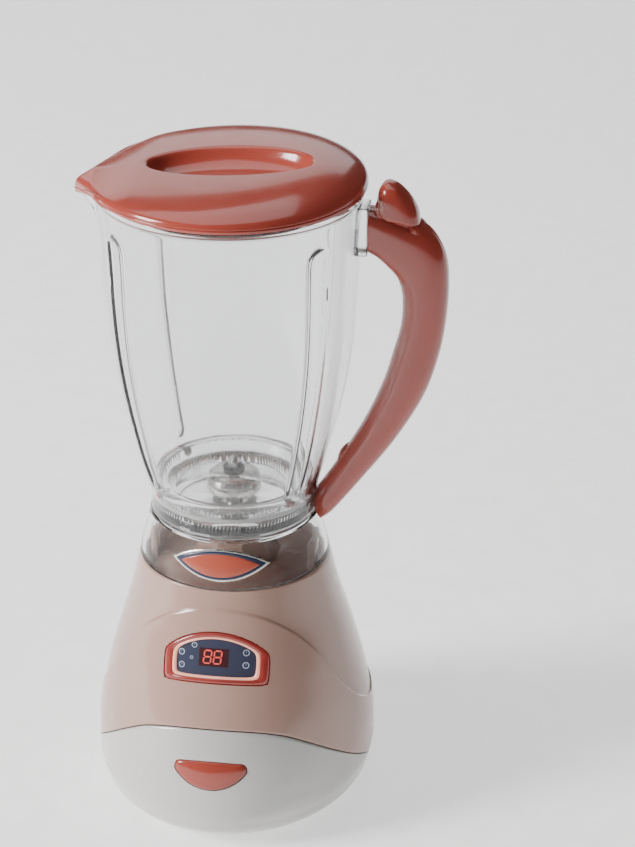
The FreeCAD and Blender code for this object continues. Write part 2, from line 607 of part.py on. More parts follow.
def make_motor_cradle():
    """Flanged cup that hangs under the deck and grips the motor."""
    top = s.deck_z - s.base_wall - s.flat_gap
    flange = 2.0
    cup_radius = s.motor_radius + s.slip + s.cradle_wall
    cup = Part.makeCylinder(cup_radius, top - s.motor_top_z + 18.0, Vector(0, 0, s.motor_top_z - 18.0))
    cup = cup.fuse(Part.makeCylinder(s.cradle_flange, flange, Vector(0, 0, top - flange)))
    hollow = Part.makeCylinder(s.motor_radius + s.slip, 18.0 + s.slip, Vector(0, 0, s.motor_top_z - 18.0))
    flats = Part.makeBox(4 * s.motor_radius, 2 * (s.motor_half_flat + s.slip), 18.0 + s.slip,
                         Vector(-2 * s.motor_radius, -s.motor_half_flat - s.slip, s.motor_top_z - 18.0))
    cup = cup.cut(hollow.common(flats))
    cup = cup.cut(Part.makeCylinder(s.motor_nose_radius + s.slip, 12.0, Vector(0, 0, s.motor_top_z)))
    for x in (-s.cradle_screw_x, s.cradle_screw_x):
        cup = cup.cut(Part.makeCylinder(s.screw_radius + s.slip, 6.0, Vector(x, 0, top - flange - 1)))
    return feature("motor_cradle", cup)


def make_cradle_screws():
    """Two screws through the cradle's flange into the bosses under the dock."""
    top = s.deck_z - s.base_wall - s.flat_gap
    screws = []
    for side, x in enumerate((-s.cradle_screw_x, s.cradle_screw_x)):
        low = top - 2.0
        head = rod("cradle_head_%d" % side, s.screw_head_radius - 0.2, s.screw_head,
                   (x, ZERO, low - s.screw_head - s.slip / 3))
        shank = rod("cradle_shank_%d" % side, s.screw_radius - s.running, Size(6.0, "6"),
                    (x, ZERO, low - s.screw_head))
        screws.append(joined("cradle_screw_%d" % side, [head, shank]))
    return joined("cradle_screws", screws)


def make_display_frame():
    """See-through curved bezel set in the window of the upper shell."""
    ring = display_prism(s.gap / 2, -8.0, 8.0).cut(display_prism(s.frame_width, -9.0, 9.0))
    skin = base_form(-s.apron_proud + 0.4).cut(base_form(s.frame_depth - s.apron_proud + 0.4))
    return feature("display_frame", solid_of(ring.common(skin)))


def make_display_panel():
    """Dark curved panel inside the bezel."""
    sheet_form = base_form(s.panel_sink - s.apron_proud).cut(base_form(s.panel_sink + s.panel_sheet - s.apron_proud))
    return feature("display_panel", solid_of(display_prism(s.frame_width + s.slip, -8.0, 8.0).common(sheet_form)))


def display_box(width, height, near, far):
    """A box behind the display, square to it: near and far are depths under the outer skin."""
    box = Part.makeBox(width, height, far - near, Vector(-width / 2, -height / 2, -far))
    box.Placement = display_place()
    return box


def depth_behind(width, height):
    """How far under the outer skin the bezel and the panel reach within a box of that size."""
    probe = display_box(width, height, -9.0, 12.0)
    back = 0.0
    for node in ("display_frame", "display_panel"):
        piece = doc.getObject(node).Shape.common(probe)
        if piece.Solids:
            piece.Placement = display_place().inverse().multiply(piece.Placement)
            back = max(back, -piece.optimalBoundingBox(False, False).ZMin)
    return back


def make_led_and_board():
    """Digit module against the back of the panel and the board behind it."""
    near = depth_behind(s.led_length, s.led_height) + s.flat_gap
    feature("led_module", display_box(s.led_length, s.led_height, near, near + s.led_depth))
    behind = max(near + s.led_depth, depth_behind(s.board_length, s.board_height)) + s.flat_gap
    feature("circuit_board", display_box(s.board_length, s.board_height, behind, behind + s.board_sheet))


def make_push_switch():
    """Square switch body with the well that its plunger sinks into, and the plunger."""
    half = s.switch_size / 2
    z = s.button_side_z - 1.0
    turn = Rotation(Vector(1, 0, 0), -90)
    body = block("switch_body", (-half, s.switch_face_y, z - half), (half, s.switch_face_y + s.switch_depth, z + half))
    well = rod("switch_well", s.switch_plunger + s.slip, s.button_travel + s.switch_root + s.gap,
               (ZERO, s.switch_face_y, z), turn)
    rod("switch_plunger", s.switch_plunger, s.switch_stand + s.switch_root,
        (ZERO, s.switch_face_y - s.switch_stand, z), turn)
    return cut("push_switch", body, well)


def make_start_button():
    """Half-moon cap that stands proud of the shell, with a lip behind it and a push rod."""
    cap = button_prism(s.gap, -100, s.button_back_y + 1.5).common(base_form(-s.apron_proud - s.button_proud))
    lip_skin = base_form(s.base_wall + s.gap)
    lip = button_prism(-s.button_lip, -100, s.button_back_y + 1.5).common(lip_skin)
    stem_face = s.switch_face_y - s.switch_stand - s.flat_gap
    z = s.button_side_z - 1.0
    stem = Part.makeCylinder(s.switch_plunger + 0.6, stem_face - s.button_back_y, Vector(0, s.button_back_y, z),
                             Vector(0, 1, 0))
    return feature("start_button", solid_of(cap.fuse(lip).fuse(stem)))


def make_button_spring():
    """Coil round the switch plunger, drawn as its envelope."""
    z = s.button_side_z - 1.0
    near = s.button_back_y + 1.5 + s.flat_gap
    turn = Rotation(Vector(1, 0, 0), -90)
    length = s.switch_face_y - s.flat_gap - near
    coil = rod("spring_outside", s.spring_radius, length, (ZERO, near, z), turn)
    hole = rod("spring_inside", s.spring_radius - s.spring_wall, length, (ZERO, near, z), turn)
    return cut("button_spring", coil, hole)


make_feet()
make_base_screws()
make_batteries()
make_battery_box()
make_battery_contacts()
make_battery_door()
make_door_screw()
make_motor_can()
make_motor_cradle()
make_cradle_screws()
make_display_frame()
make_display_panel()
make_led_and_board()
make_push_switch()
make_start_button()
make_button_spring()
hub_bush_outer = s.spindle_radius + s.running + s.bush_wall
tube("hub_bushing", s.spindle_radius + s.running, hub_bush_outer, s.hub_top_z - s.bush_length, s.hub_top_z)

# ---------------------------------------------------------------- drive: motor shaft and spindle
disc("motor_shaft", s.motor_shaft_radius, s.motor_top_z - 8.0, s.spindle_foot_z + 9.0)


def make_drive_spindle():
    """Spindle pressed on the motor shaft, with three driving fins at its head."""
    spindle = Part.makeCylinder(s.spindle_radius, s.spindle_top_z - s.spindle_foot_z, Vector(0, 0, s.spindle_foot_z))
    for k in range(3):
        fin = Part.makeBox(s.dog_radius, s.dog_width, s.dog_height,
                           Vector(0, -s.dog_width / 2, s.spindle_top_z - s.dog_height))
        fin.rotate(Vector(0, 0, 0), Vector(0, 0, 1), 120 * k)
        spindle = spindle.fuse(fin)
    bore = Part.makeCylinder(s.motor_shaft_radius + 0.02, 9.2, Vector(0, 0, s.spindle_foot_z))
    return feature("drive_spindle", solid_of(spindle.cut(bore)))


make_drive_spindle()


# ---------------------------------------------------------------- jar
JAR_STATIONS = ("cup", "bowl", "body", "brim", "rim")


def wall_points(inset):
    """(radius, height) of the jar's wall above the neck, moved in by inset."""
    return [(getattr(s, n + "_radius") - inset, getattr(s, n + "_z")) for n in JAR_STATIONS]


def jar_outside(grow=0.0):
    """The jar as a solid of revolution, without its spout."""
    upper = [(s.neck_radius + grow, s.neck_z), (s.neck_radius + grow + 0.3, (s.neck_z + s.cup_z) / 2)]
    wall = upper + wall_points(-grow)
    top = s.rim_z
    return spun([line((0, s.jar_foot_z), (s.neck_radius + grow + 0.2, s.jar_foot_z)),
                 line((s.neck_radius + grow + 0.2, s.jar_foot_z), upper[0]),
                 curve(wall), line(wall[-1], (0, top)), line((0, top), (0, s.jar_foot_z))])


def jar_inside():
    """The space inside the jar: a straight bore at the neck, a step, then the curved wall."""
    wall = wall_points(s.jar_wall)
    above = s.rim_z + 1.0
    return spun([line((0, s.jar_foot_z - 1.0), (s.neck_bore, s.jar_foot_z - 1.0)),
                 line((s.neck_bore, s.jar_foot_z - 1.0), (s.neck_bore, s.step_z)),
                 line((s.neck_bore, s.step_z), wall[0]), curve(wall),
                 line(wall[-1], (wall[-1][0], above)), line((wall[-1][0], above), (0, above)),
                 line((0, above), (0, s.jar_foot_z - 1.0))])


def flute(angle, radius):
    """A round-ended bar that follows the wall, at one angle from the front."""
    stand = s.flute_stand
    foot = Vector(s.cup_radius + 1.4 + stand, 0, s.flute_foot_z)
    middle = Vector(s.body_radius - 1.4 + stand, 0, (s.flute_foot_z + s.flute_top_z) / 2 + 0.0)
    head = Vector(s.brim_radius + 0.1 + stand, 0, s.flute_top_z)
    arc = Part.Arc(foot, middle, head)
    start = arc.tangent(arc.FirstParameter)[0]
    ring = Part.Wire([Part.Circle(foot, start, radius).toShape()])
    bar = Part.Wire([arc.toShape()]).makePipeShell([ring], True, True)
    bar = bar.fuse(Part.makeSphere(radius, foot)).fuse(Part.makeSphere(radius, head))
    bar.rotate(Vector(0, 0, 0), Vector(0, 0, 1), angle - 90)
    return bar


FLUTES = [sign * turn for turn in (s.flute_angle, 180 - s.flute_angle) for sign in (-1, 1)]


def spout(grow):
    """A cone that leans outwards on the spout side."""
    foot = Vector(-s.spout_foot_x, 0, s.spout_foot_z)
    mouth = Vector(-(s.spout_tip - s.spout_mouth_radius), 0, s.rim_z)
    axis = mouth - foot
    stretch = 1.12
    radius_end = s.spout_foot_radius + (s.spout_mouth_radius - s.spout_foot_radius) * stretch
    return Part.makeCone(s.spout_foot_radius + grow, radius_end + grow, axis.Length * stretch, foot, axis)


def beak_line(forward, lift):
    """The lid's lower edge under its beak, from the rim to the tip, moved towards the axis and up."""
    low = s.lid_edge_z - s.beak_droop + lift
    return [(forward - s.beak_root, s.lid_edge_z + lift), (forward - 56.0, low + 0.5 * s.beak_droop),
            (forward - s.beak_tip - 2.0, low)]


def spout_trim():
    """Everything above the rim and above the spout's lip, which falls just under the lid's beak."""
    lip = beak_line(s.gap, s.rim_z - s.lid_edge_z)
    far, high = -120, s.rim_z + 40
    return slab([curve(lip), line(lip[-1], (far, lip[-1][1])), line((far, lip[-1][1]), (far, high)),
                 line((far, high), (80, high)), line((80, high), (80, s.rim_z)), line((80, s.rim_z), lip[0])], 60)


def handle_lugs(grow):
    """The clear plate and tongue at the top of the jar and the lug at its neck."""
    plate = Part.makeBox(s.bracket_reach - s.brim_radius + 6, 2 * s.bracket_half_width,
                         s.bracket_high_z - s.bracket_low_z,
                         Vector(s.brim_radius - 6, -s.bracket_half_width, s.bracket_low_z))
    tongue = Part.makeBox(s.tongue_reach - s.brim_radius + 6 + grow, 2 * (s.tongue_half_width + grow),
                          s.tongue_high_z - s.tongue_low_z + 2 * grow,
                          Vector(s.brim_radius - 6, -s.tongue_half_width - grow, s.tongue_low_z - grow))
    lug = Part.makeBox(s.lug_reach - s.neck_radius + 2 + grow, 2 * (3.0 + grow), 5.0 + 2 * grow,
                       Vector(s.neck_radius - 2, -3.0 - grow, 136.0 - grow))
    return plate, tongue, lug


def make_jar():
    """Clear jar: curved wall with four flutes pressed in, rim bead, spout and handle lugs."""
    outside = jar_outside()
    bead = Part.makeCylinder(s.rim_bead, s.rim_bead_height, Vector(0, 0, s.rim_z - s.rim_bead_height))
    outside = outside.fuse(bead).fuse(spout(0.0))
    inside = jar_inside()
    for angle in FLUTES:
        outside = outside.cut(flute(angle, s.flute_radius))
        inside = inside.cut(flute(angle, s.flute_radius + s.jar_wall))
    hollow = spout(-s.jar_wall).fuse(inside)
    for piece in handle_lugs(0.0):
        outside = outside.fuse(piece)
    jar = outside.cut(hollow).cut(inside).cut(spout_trim())
    for x, y in pin_places():
        jar = jar.cut(round_bar(s.pin_radius + s.slip / 2, (0, 0, s.pin_z), (x * 40, y * 40, s.pin_z)))
    return solid_of(jar)


def pin_places():
    """Unit vectors of the four pins, one under each flute."""
    return [(math.sin(math.radians(a)), -math.cos(math.radians(a))) for a in FLUTES]


feature("jar", make_jar())


def collar_skirt(grow):
    """Outline of the collar's outer face, moved out by grow."""
    return [(s.collar_top_radius + grow, s.collar_top_z), (s.collar_mid_radius + grow, s.collar_mid_z),
            (s.collar_foot_radius + grow, s.collar_foot_z)]


def skirt_solid(grow, lift=0.0):
    """The collar's outer form as a solid, moved out by grow and raised at its top by lift."""
    points = collar_skirt(grow)
    top = s.collar_top_z + lift
    return spun([curve(points), line(points[2], (0, s.collar_foot_z)), line((0, s.collar_foot_z), (0, top)),
                 line((0, top), (points[0][0], top))]
                + ([line((points[0][0], top), points[0])] if lift else []))


def make_jar_collar():
    """Clear flared skirt under the jar, with an inward flange at its top."""
    outer = collar_skirt(0.0)
    inner = collar_skirt(-s.jar_wall)
    flange_low = s.collar_top_z - s.jar_wall
    edges = [curve(outer), line(outer[2], inner[2]),
             curve([inner[2], inner[1], (inner[0][0] + 0.6, flange_low)]),
             line((inner[0][0] + 0.6, flange_low), (s.collar_flange_bore, flange_low)),
             line((s.collar_flange_bore, flange_low), (s.collar_flange_bore, s.collar_top_z)),
             line((s.collar_flange_bore, s.collar_top_z), outer[0])]
    return feature("jar_collar", spun(edges))


def make_badge():
    """Pointed oval plate on the front of the collar."""
    half, high, z = s.badge_half_length, s.badge_half_height, s.badge_z
    left, right = Vector(-half, -60, z), Vector(half, -60, z)
    edges = [Part.Arc(left, Vector(0, -60, z + high), right).toShape(),
             Part.Arc(right, Vector(0, -60, z - high), left).toShape()]
    outline = Part.Face(Part.Wire(edges)).extrude(Vector(0, 50, 0))
    return feature("badge", solid_of(outline.common(skirt_solid(s.badge_height)).cut(skirt_solid(0.05))))


make_jar_collar()
make_badge()

seat_radius = s.neck_bore - s.gap
groove = s.seat_foot_z
seat_ring = turned("seat_ring", [
    (s.shaft_bush_radius + s.slip / 3, s.seat_foot_z), (seat_radius, s.seat_foot_z),
    (seat_radius, s.gasket_z), (seat_radius - s.gasket_depth, s.gasket_z),
    (seat_radius - s.gasket_depth, s.gasket_z + s.gasket_height), (seat_radius, s.gasket_z + s.gasket_height),
    (seat_radius, s.seat_top_z), (s.seat_well + 2.0, s.seat_top_z), (s.seat_well, s.seat_top_z - 4.0),
    (s.seat_well, s.seat_foot_z + s.seat_floor), (s.boss_radius, s.seat_foot_z + s.seat_floor),
    (s.boss_radius, s.boss_top_z), (s.shaft_bush_radius + s.slip / 3, s.boss_top_z)])


def make_pins(label, radius, inner, outer):
    """Four round pins through the neck, one under each flute."""
    pins = []
    for k, (x, y) in enumerate(pin_places()):
        turn = Rotation(Vector(0, 0, 1), Vector(x, y, 0))
        base = (inner * x, inner * y, s.pin_z)
        pins.append(rod("%s_%d" % (label, k + 1), radius, outer - inner, base, turn))
    return joined(label, pins)


cut("blade_seat", seat_ring, make_pins("pin_holes", s.pin_radius + s.slip / 2, s.pin_inner, s.neck_bore + 1.0))
make_pins("seat_pins", s.pin_radius, s.pin_inner + s.flat_gap, s.pin_outer)
tube("jar_gasket", seat_radius - s.gasket_depth + s.flat_gap, s.neck_bore - s.flat_gap,
     s.gasket_z + s.flat_gap, s.gasket_z + s.gasket_height - s.flat_gap)
tube("shaft_bushing", s.shaft_radius + s.running, s.shaft_bush_radius, s.seat_foot_z, s.boss_top_z)
tube("shaft_seal", s.shaft_radius + s.running, s.shaft_seal_radius, s.boss_top_z + s.flat_gap,
     s.boss_top_z + s.flat_gap + s.shaft_seal_height)


# ---------------------------------------------------------------- blades and the driven half of the coupling
blade_foot = s.boss_top_z + s.flat_gap + s.shaft_seal_height + s.hub_clear
blade_top = blade_foot + s.blade_hub_height
washer_z = blade_top + s.wing_sheet + s.flat_gap * 2
nut_z = washer_z + s.blade_washer + s.flat_gap


def make_driven_coupling():
    """Cup under the blade seat with three inward teeth that the spindle's fins push."""
    roof = s.driven_foot_z + s.driven_drop
    cup = Part.makeCylinder(s.driven_radius, s.driven_drop + s.driven_roof, Vector(0, 0, s.driven_foot_z))
    cup = cup.cut(Part.makeCylinder(s.driven_bore, s.driven_drop, Vector(0, 0, s.driven_foot_z)))
    for k in range(3):
        tooth = Part.makeCylinder(s.driven_bore + 0.5, s.driven_drop + 0.5, Vector(0, 0, s.driven_foot_z),
                                  Vector(0, 0, 1), 2 * s.tooth_half_angle)
        tooth.rotate(Vector(0, 0, 0), Vector(0, 0, 1), 60 + 120 * k - s.tooth_half_angle)
        cup = cup.fuse(tooth.cut(Part.makeCylinder(s.tooth_inner, s.driven_drop, Vector(0, 0, s.driven_foot_z))))
    bore = Part.makeCylinder(s.shaft_radius + 0.02, 3 * s.driven_roof, Vector(0, 0, roof - 0.5))
    return feature("driven_coupling", solid_of(cup.cut(bore)))


def make_blade_wings():
    """One sheet: a disc with two leaf-shaped wings that droop to each side."""
    top = blade_top + s.flat_gap
    tip_z = blade_top - s.wing_fall
    low_points = [(0.0, top), (s.wing_disc_radius, top), (s.wing_reach * 0.6, top - 1.6),
                  (s.wing_reach, tip_z)]
    sides = []
    for rise in (0.0, s.wing_sheet):
        right = [Vector(x + rise * 0.5 * (x > 10), 0, z + rise) for x, z in low_points]
        left = [Vector(-v.x, 0, v.z) for v in reversed(right[1:])]
        spline = Part.BSplineCurve()
        spline.interpolate(left + right)
        sides.append(spline.toShape())
    ends = [Part.makeLine(sides[0].Vertexes[k].Point, sides[1].Vertexes[k].Point) for k in (0, 1)]
    sheet_body = slab(sides + ends, s.wing_disc_radius)
    plan = Part.makeCylinder(s.wing_disc_radius, 40, Vector(0, 0, tip_z - 10))
    reach = s.wing_reach + 1.0
    leaf = prism([(4, -s.wing_half_width, tip_z - 10), (16, -s.wing_half_width, tip_z - 10),
                  (reach, -2.0, tip_z - 10), (reach, 2.0, tip_z - 10),
                  (16, s.wing_half_width, tip_z - 10), (4, s.wing_half_width, tip_z - 10)],
                 (0, 0, 40))
    for turn in (0, 180):
        wing = leaf.copy()
        wing.rotate(Vector(0, 0, 0), Vector(0, 0, 1), turn)
        plan = plan.fuse(wing)
    bore = Part.makeCylinder(s.shaft_radius + 0.02, 10, Vector(0, 0, top - 2))
    return feature("blade_wings", solid_of(sheet_body.common(plan).cut(bore)))


def make_blade_screw():
    """Six-sided nut on the end of the blade shaft."""
    corners = [(s.blade_nut_radius * math.cos(math.radians(60 * k)),
                s.blade_nut_radius * math.sin(math.radians(60 * k)), nut_z) for k in range(6)]
    nut = prism(corners, (0, 0, s.blade_nut))
    return feature("blade_nut", nut.cut(Part.makeCylinder(s.shaft_radius + 0.02, 6, Vector(0, 0, nut_z - 1))))


make_driven_coupling()
disc("blade_shaft", s.shaft_radius, s.driven_foot_z + s.driven_drop + s.flat_gap, nut_z + s.blade_nut + s.shaft_end)
hub_side = s.blade_hub_radius - s.blade_hub_wall
turned("blade_hub", [
    (hub_side, blade_foot), (s.blade_hub_radius, blade_foot), (s.blade_hub_radius, blade_foot + 2.9),
    (s.blade_hub_radius - 1.0, blade_foot + 5.3), (s.blade_hub_crown, blade_top),
    (s.shaft_radius + 0.02, blade_top), (s.shaft_radius + 0.02, blade_foot - 0.4),
    (s.shaft_bush_radius, blade_foot - 0.4), (s.shaft_bush_radius, blade_top - s.blade_hub_wall),
    (s.blade_hub_crown - 0.6, blade_top - s.blade_hub_wall), (hub_side, blade_foot + 2.6)])
make_blade_wings()
tube("blade_washer", s.shaft_radius + 0.02, s.blade_washer_radius, washer_z, washer_z + s.blade_washer)
make_blade_screw()


# ---------------------------------------------------------------- lid
def lid_dome(inset):
    """The domed disc of the lid, smaller by inset, as a solid."""
    low = s.lid_edge_z if inset == 0 else s.lid_edge_z - 1.0
    side = s.lid_radius - inset
    top = [(side, s.lid_side_z), (s.lid_turn_radius - 0.8 * inset, s.lid_turn_z - 0.6 * inset),
           (s.lid_fall_radius - 0.4 * inset, s.lid_fall_z - inset), (s.lid_crest_radius, s.lid_crest_z - inset),
           (0.0, s.lid_top_z - inset)]
    return spun([line((0, low), (side, low)), line((side, low), top[0]), curve(top), line(top[-1], (0, low))])


def beak_plan(inset):
    """Upright prism over the pointed plan of the lid: the round edge and the tangents to the tip."""
    centre = s.beak_tip - s.beak_tip_radius
    small, big = s.beak_tip_radius - inset, s.lid_radius - inset
    lean = math.asin((big - small) / centre)
    touch = lambda radius, middle, side: Vector(middle - radius * math.sin(lean), side * radius * math.cos(lean), 0)
    tip_a, tip_b = touch(small, -centre, 1), touch(small, -centre, -1)
    big_a, big_b = touch(big, 0.0, 1), touch(big, 0.0, -1)
    edges = [Part.Arc(tip_a, Vector(-centre - small, 0, 0), tip_b).toShape(), Part.makeLine(tip_b, big_b),
             Part.Arc(big_b, Vector(0 - big * 0.5, -big * math.cos(math.radians(30)), 0),
                      Vector(0, -big, 0)).toShape(),
             Part.makeLine(Vector(0, -big, 0), Vector(0, big, 0)),
             Part.Arc(Vector(0, big, 0), Vector(-big * 0.5, big * math.cos(math.radians(30)), 0), big_a).toShape(),
             Part.makeLine(big_a, tip_a)]
    return Part.Face(Part.Wire(edges)).extrude(Vector(0, 0, 60))


def beak_form(inset):
    """The beak before its plan is cut: a low band that falls to the tip, and a round crown along it."""
    low = s.lid_edge_z - s.beak_droop
    root = (-s.beak_root, s.lid_edge_z)
    tip = -s.beak_tip - 2.0
    high = [(-s.beak_root + 6.0, s.lid_side_z - inset), (tip, low + s.beak_tip_face - inset)]
    if inset:
        foot = (-s.beak_root + 6.0, low - 9.0)
        edges = [line(high[0], high[1]), line(high[1], (tip, low - 9.0)), line((tip, low - 9.0), foot),
                 line(foot, high[0])]
    else:
        drop = beak_line(0.0, 0.0)[::-1]
        edges = [line(high[0], high[1]), line(high[1], drop[0]), curve(drop),
                 line(root, (high[0][0], root[1])), line((high[0][0], root[1]), high[0])]
    band = slab(edges, 60)
    start = Vector(-s.grip_half_length, 0, s.lid_fall_z - s.crown_start)
    end = Vector(tip, 0, low + s.beak_tip_face + s.crown_rise - s.crown_end)
    axis = end - start
    crown = Part.makeCone(s.crown_start - inset, s.crown_end - inset, axis.Length, start, axis)
    above = Part.makeBox(90, 120, 60, Vector(-90, -60, s.lid_edge_z))
    high_z = s.lid_top_z + 20
    beyond = slab([curve(beak_line(0.0, 0.0)), line((tip, low), (tip, high_z)),
                   line((tip, high_z), (-s.beak_root, high_z)), line((-s.beak_root, high_z), root)], 60)
    return band, crown.common(above.fuse(beyond))


def grip_bowl(grow):
    """The oval bowl pressed into the top of the lid, larger by grow, as a solid."""
    sections = ((s.grip_floor_z - grow, 6.5), (s.grip_floor_z + 2.2, 3.4), (s.lid_fall_z - 1.0, 1.0),
                (s.lid_top_z - 0.9, -1.2), (s.lid_top_z + 2.0, -s.grip_lip))
    wires = []
    for z, shrink in sections:
        long, short = s.grip_half_length - shrink + grow, s.grip_half_width - shrink + grow
        oval = Part.Ellipse(Vector(long, 0, z), Vector(0, short, z), Vector(0, 0, z))
        wires.append(Part.Wire([oval.toShape()]))
    return Part.makeLoft(wires, True, False)


def make_lid_shell():
    """Domed lid with its beak, grip bowl and plug ring."""
    plan = beak_plan(0.0)
    plan.translate(Vector(0, 0, s.lid_edge_z - 2 * s.beak_droop))
    inner_plan = beak_plan(s.lid_wall - 0.2)
    inner_plan.translate(Vector(0, 0, s.lid_edge_z - 2 * s.beak_droop))
    outside, inside = lid_dome(0.0), lid_dome(s.lid_wall)
    for piece in beak_form(0.0):
        outside = outside.fuse(plan.common(piece))
    for piece in beak_form(s.lid_wall):
        inside = inside.fuse(inner_plan.common(piece))
    keep = grip_bowl(s.lid_wall).common(outside)
    plug_high = s.lid_fall_z - 4.0
    plug = Part.makeCylinder(s.plug_radius, plug_high - s.plug_foot_z, Vector(0, 0, s.plug_foot_z))
    plug = plug.cut(Part.makeCylinder(s.plug_radius - s.plug_wall, 40, Vector(0, 0, s.plug_foot_z - 1)))
    groove_ring = Part.makeCylinder(s.plug_radius + 1, s.seal_height, Vector(0, 0, s.seal_z))
    groove_ring = groove_ring.cut(Part.makeCylinder(s.plug_radius - s.seal_seat, 10, Vector(0, 0, s.seal_z - 1)))
    lid = outside.cut(inside).fuse(keep).fuse(plug.cut(groove_ring)).cut(grip_bowl(0.0))
    return feature("lid_shell", solid_of(lid))


make_lid_shell()
tube("lid_seal", s.plug_radius - s.seal_seat + s.flat_gap, s.seal_radius, s.seal_z + s.flat_gap,
     s.seal_z + s.seal_height - s.flat_gap)

# ---------------------------------------------------------------- handle
# Each station is a point on the inner side of the grip, a point on its outer side (x, z), and the half
# depth front to back.
HANDLE_STATIONS = (
    ((56.4, 249.6), (56.4, 260.1), 7.4), ((60.2, 247.3), (64.0, 260.7), 8.2),
    ((64.2, 243.6), (73.5, 260.0), 8.8), ((67.4, 239.4), (81.5, 257.0), 9.0),
    ((68.8, 234.6), (87.0, 248.6), 9.0), ((69.5, 229.0), (88.6, 236.5), 9.0),
    ((69.3, 218.5), (87.7, 219.5), 9.0), ((66.3, 206.0), (84.8, 203.5), 9.0),
    ((61.9, 191.1), (79.0, 186.0), 8.8), ((53.9, 172.6), (67.5, 165.6), 8.2),
    ((43.5, 154.5), (53.9, 146.7), 7.4), ((36.0, 143.5), (44.8, 134.5), 7.0),
    ((28.0, 136.0), (36.0, 124.0), 6.6))


def half_ring(inner, outer, depth):
    """Points from the outer side of the grip round its front to the inner side."""
    a, b = Vector(inner[0], 0, inner[1]), Vector(outer[0], 0, outer[1])
    middle, half = (a + b) * 0.5, (b - a) * 0.5
    turns = [math.radians(22.5 * k) for k in range(9)]
    return [middle + half * math.cos(turn) - Vector(0, depth * math.sin(turn), 0) for turn in turns]


def flat_face(edges):
    """A flat face inside a closed chain of edges."""
    return Part.Face(Part.Wire(Part.sortEdges(edges)[0]))


def front_half(grow):
    """The front half of the grip through its stations, larger by grow, closed at the parting plane."""
    rings = []
    for k, (inner, outer, depth) in enumerate(HANDLE_STATIONS):
        across = Vector(outer[0] - inner[0], outer[1] - inner[1], 0)
        across.normalize()
        end = grow if k == 0 else 0.0
        inner = (inner[0] - across.x * grow - end, inner[1] - across.y * grow)
        outer = (outer[0] + across.x * grow - end, outer[1] + across.y * grow)
        rings.append(half_ring(inner, outer, depth + grow))
    surface = Part.BSplineSurface()
    surface.interpolate(rings)
    skin = surface.toShape()
    near = lambda edge, point: (edge.valueAt((edge.FirstParameter + edge.LastParameter) / 2) - point).Length
    ends = [min(skin.Edges, key=lambda edge: near(edge, point)) for point in (rings[0][4], rings[-1][4])]
    sides = [edge for edge in skin.Edges if not any(edge.isSame(end) for end in ends)]
    across = [Part.makeLine(end.Vertexes[0].Point, end.Vertexes[-1].Point) for end in ends]
    faces = [skin, flat_face(sides + across)] + [flat_face([end, bar]) for end, bar in zip(ends, across)]
    shell = Part.makeShell(faces)
    shell.sewShape()
    return outward(Part.makeSolid(shell))


def handle_form(grow):
    """The whole grip, larger by grow."""
    half = front_half(grow)
    return half.fuse(half.mirror(Vector(0, 0, 0), Vector(0, 1, 0)))


def handle_core():
    """The moulded hollow along the middle of the grip."""
    middles = [Vector((inner[0] + outer[0]) / 2, 0, (inner[1] + outer[1]) / 2)
               for inner, outer, depth in HANDLE_STATIONS[4:-2]]
    core = Part.makeSphere(s.core_radius, middles[0])
    for start, end in zip(middles, middles[1:]):
        core = core.fuse(round_bar(s.core_radius, start, end)).fuse(Part.makeSphere(s.core_radius, end))
    return core


THUMB_OUTLINE = ((57.4, 261.0), (56.9, 268.5), (58.2, 273.2), (61.2, 276.2), (65.0, 276.8), (69.0, 275.0),
                 (72.6, 271.4), (75.2, 266.5), (78.6, 260.5))
SCREW_PLACES = ((79.0, 224.0), (70.4, 188.5), (50.4, 154.0))


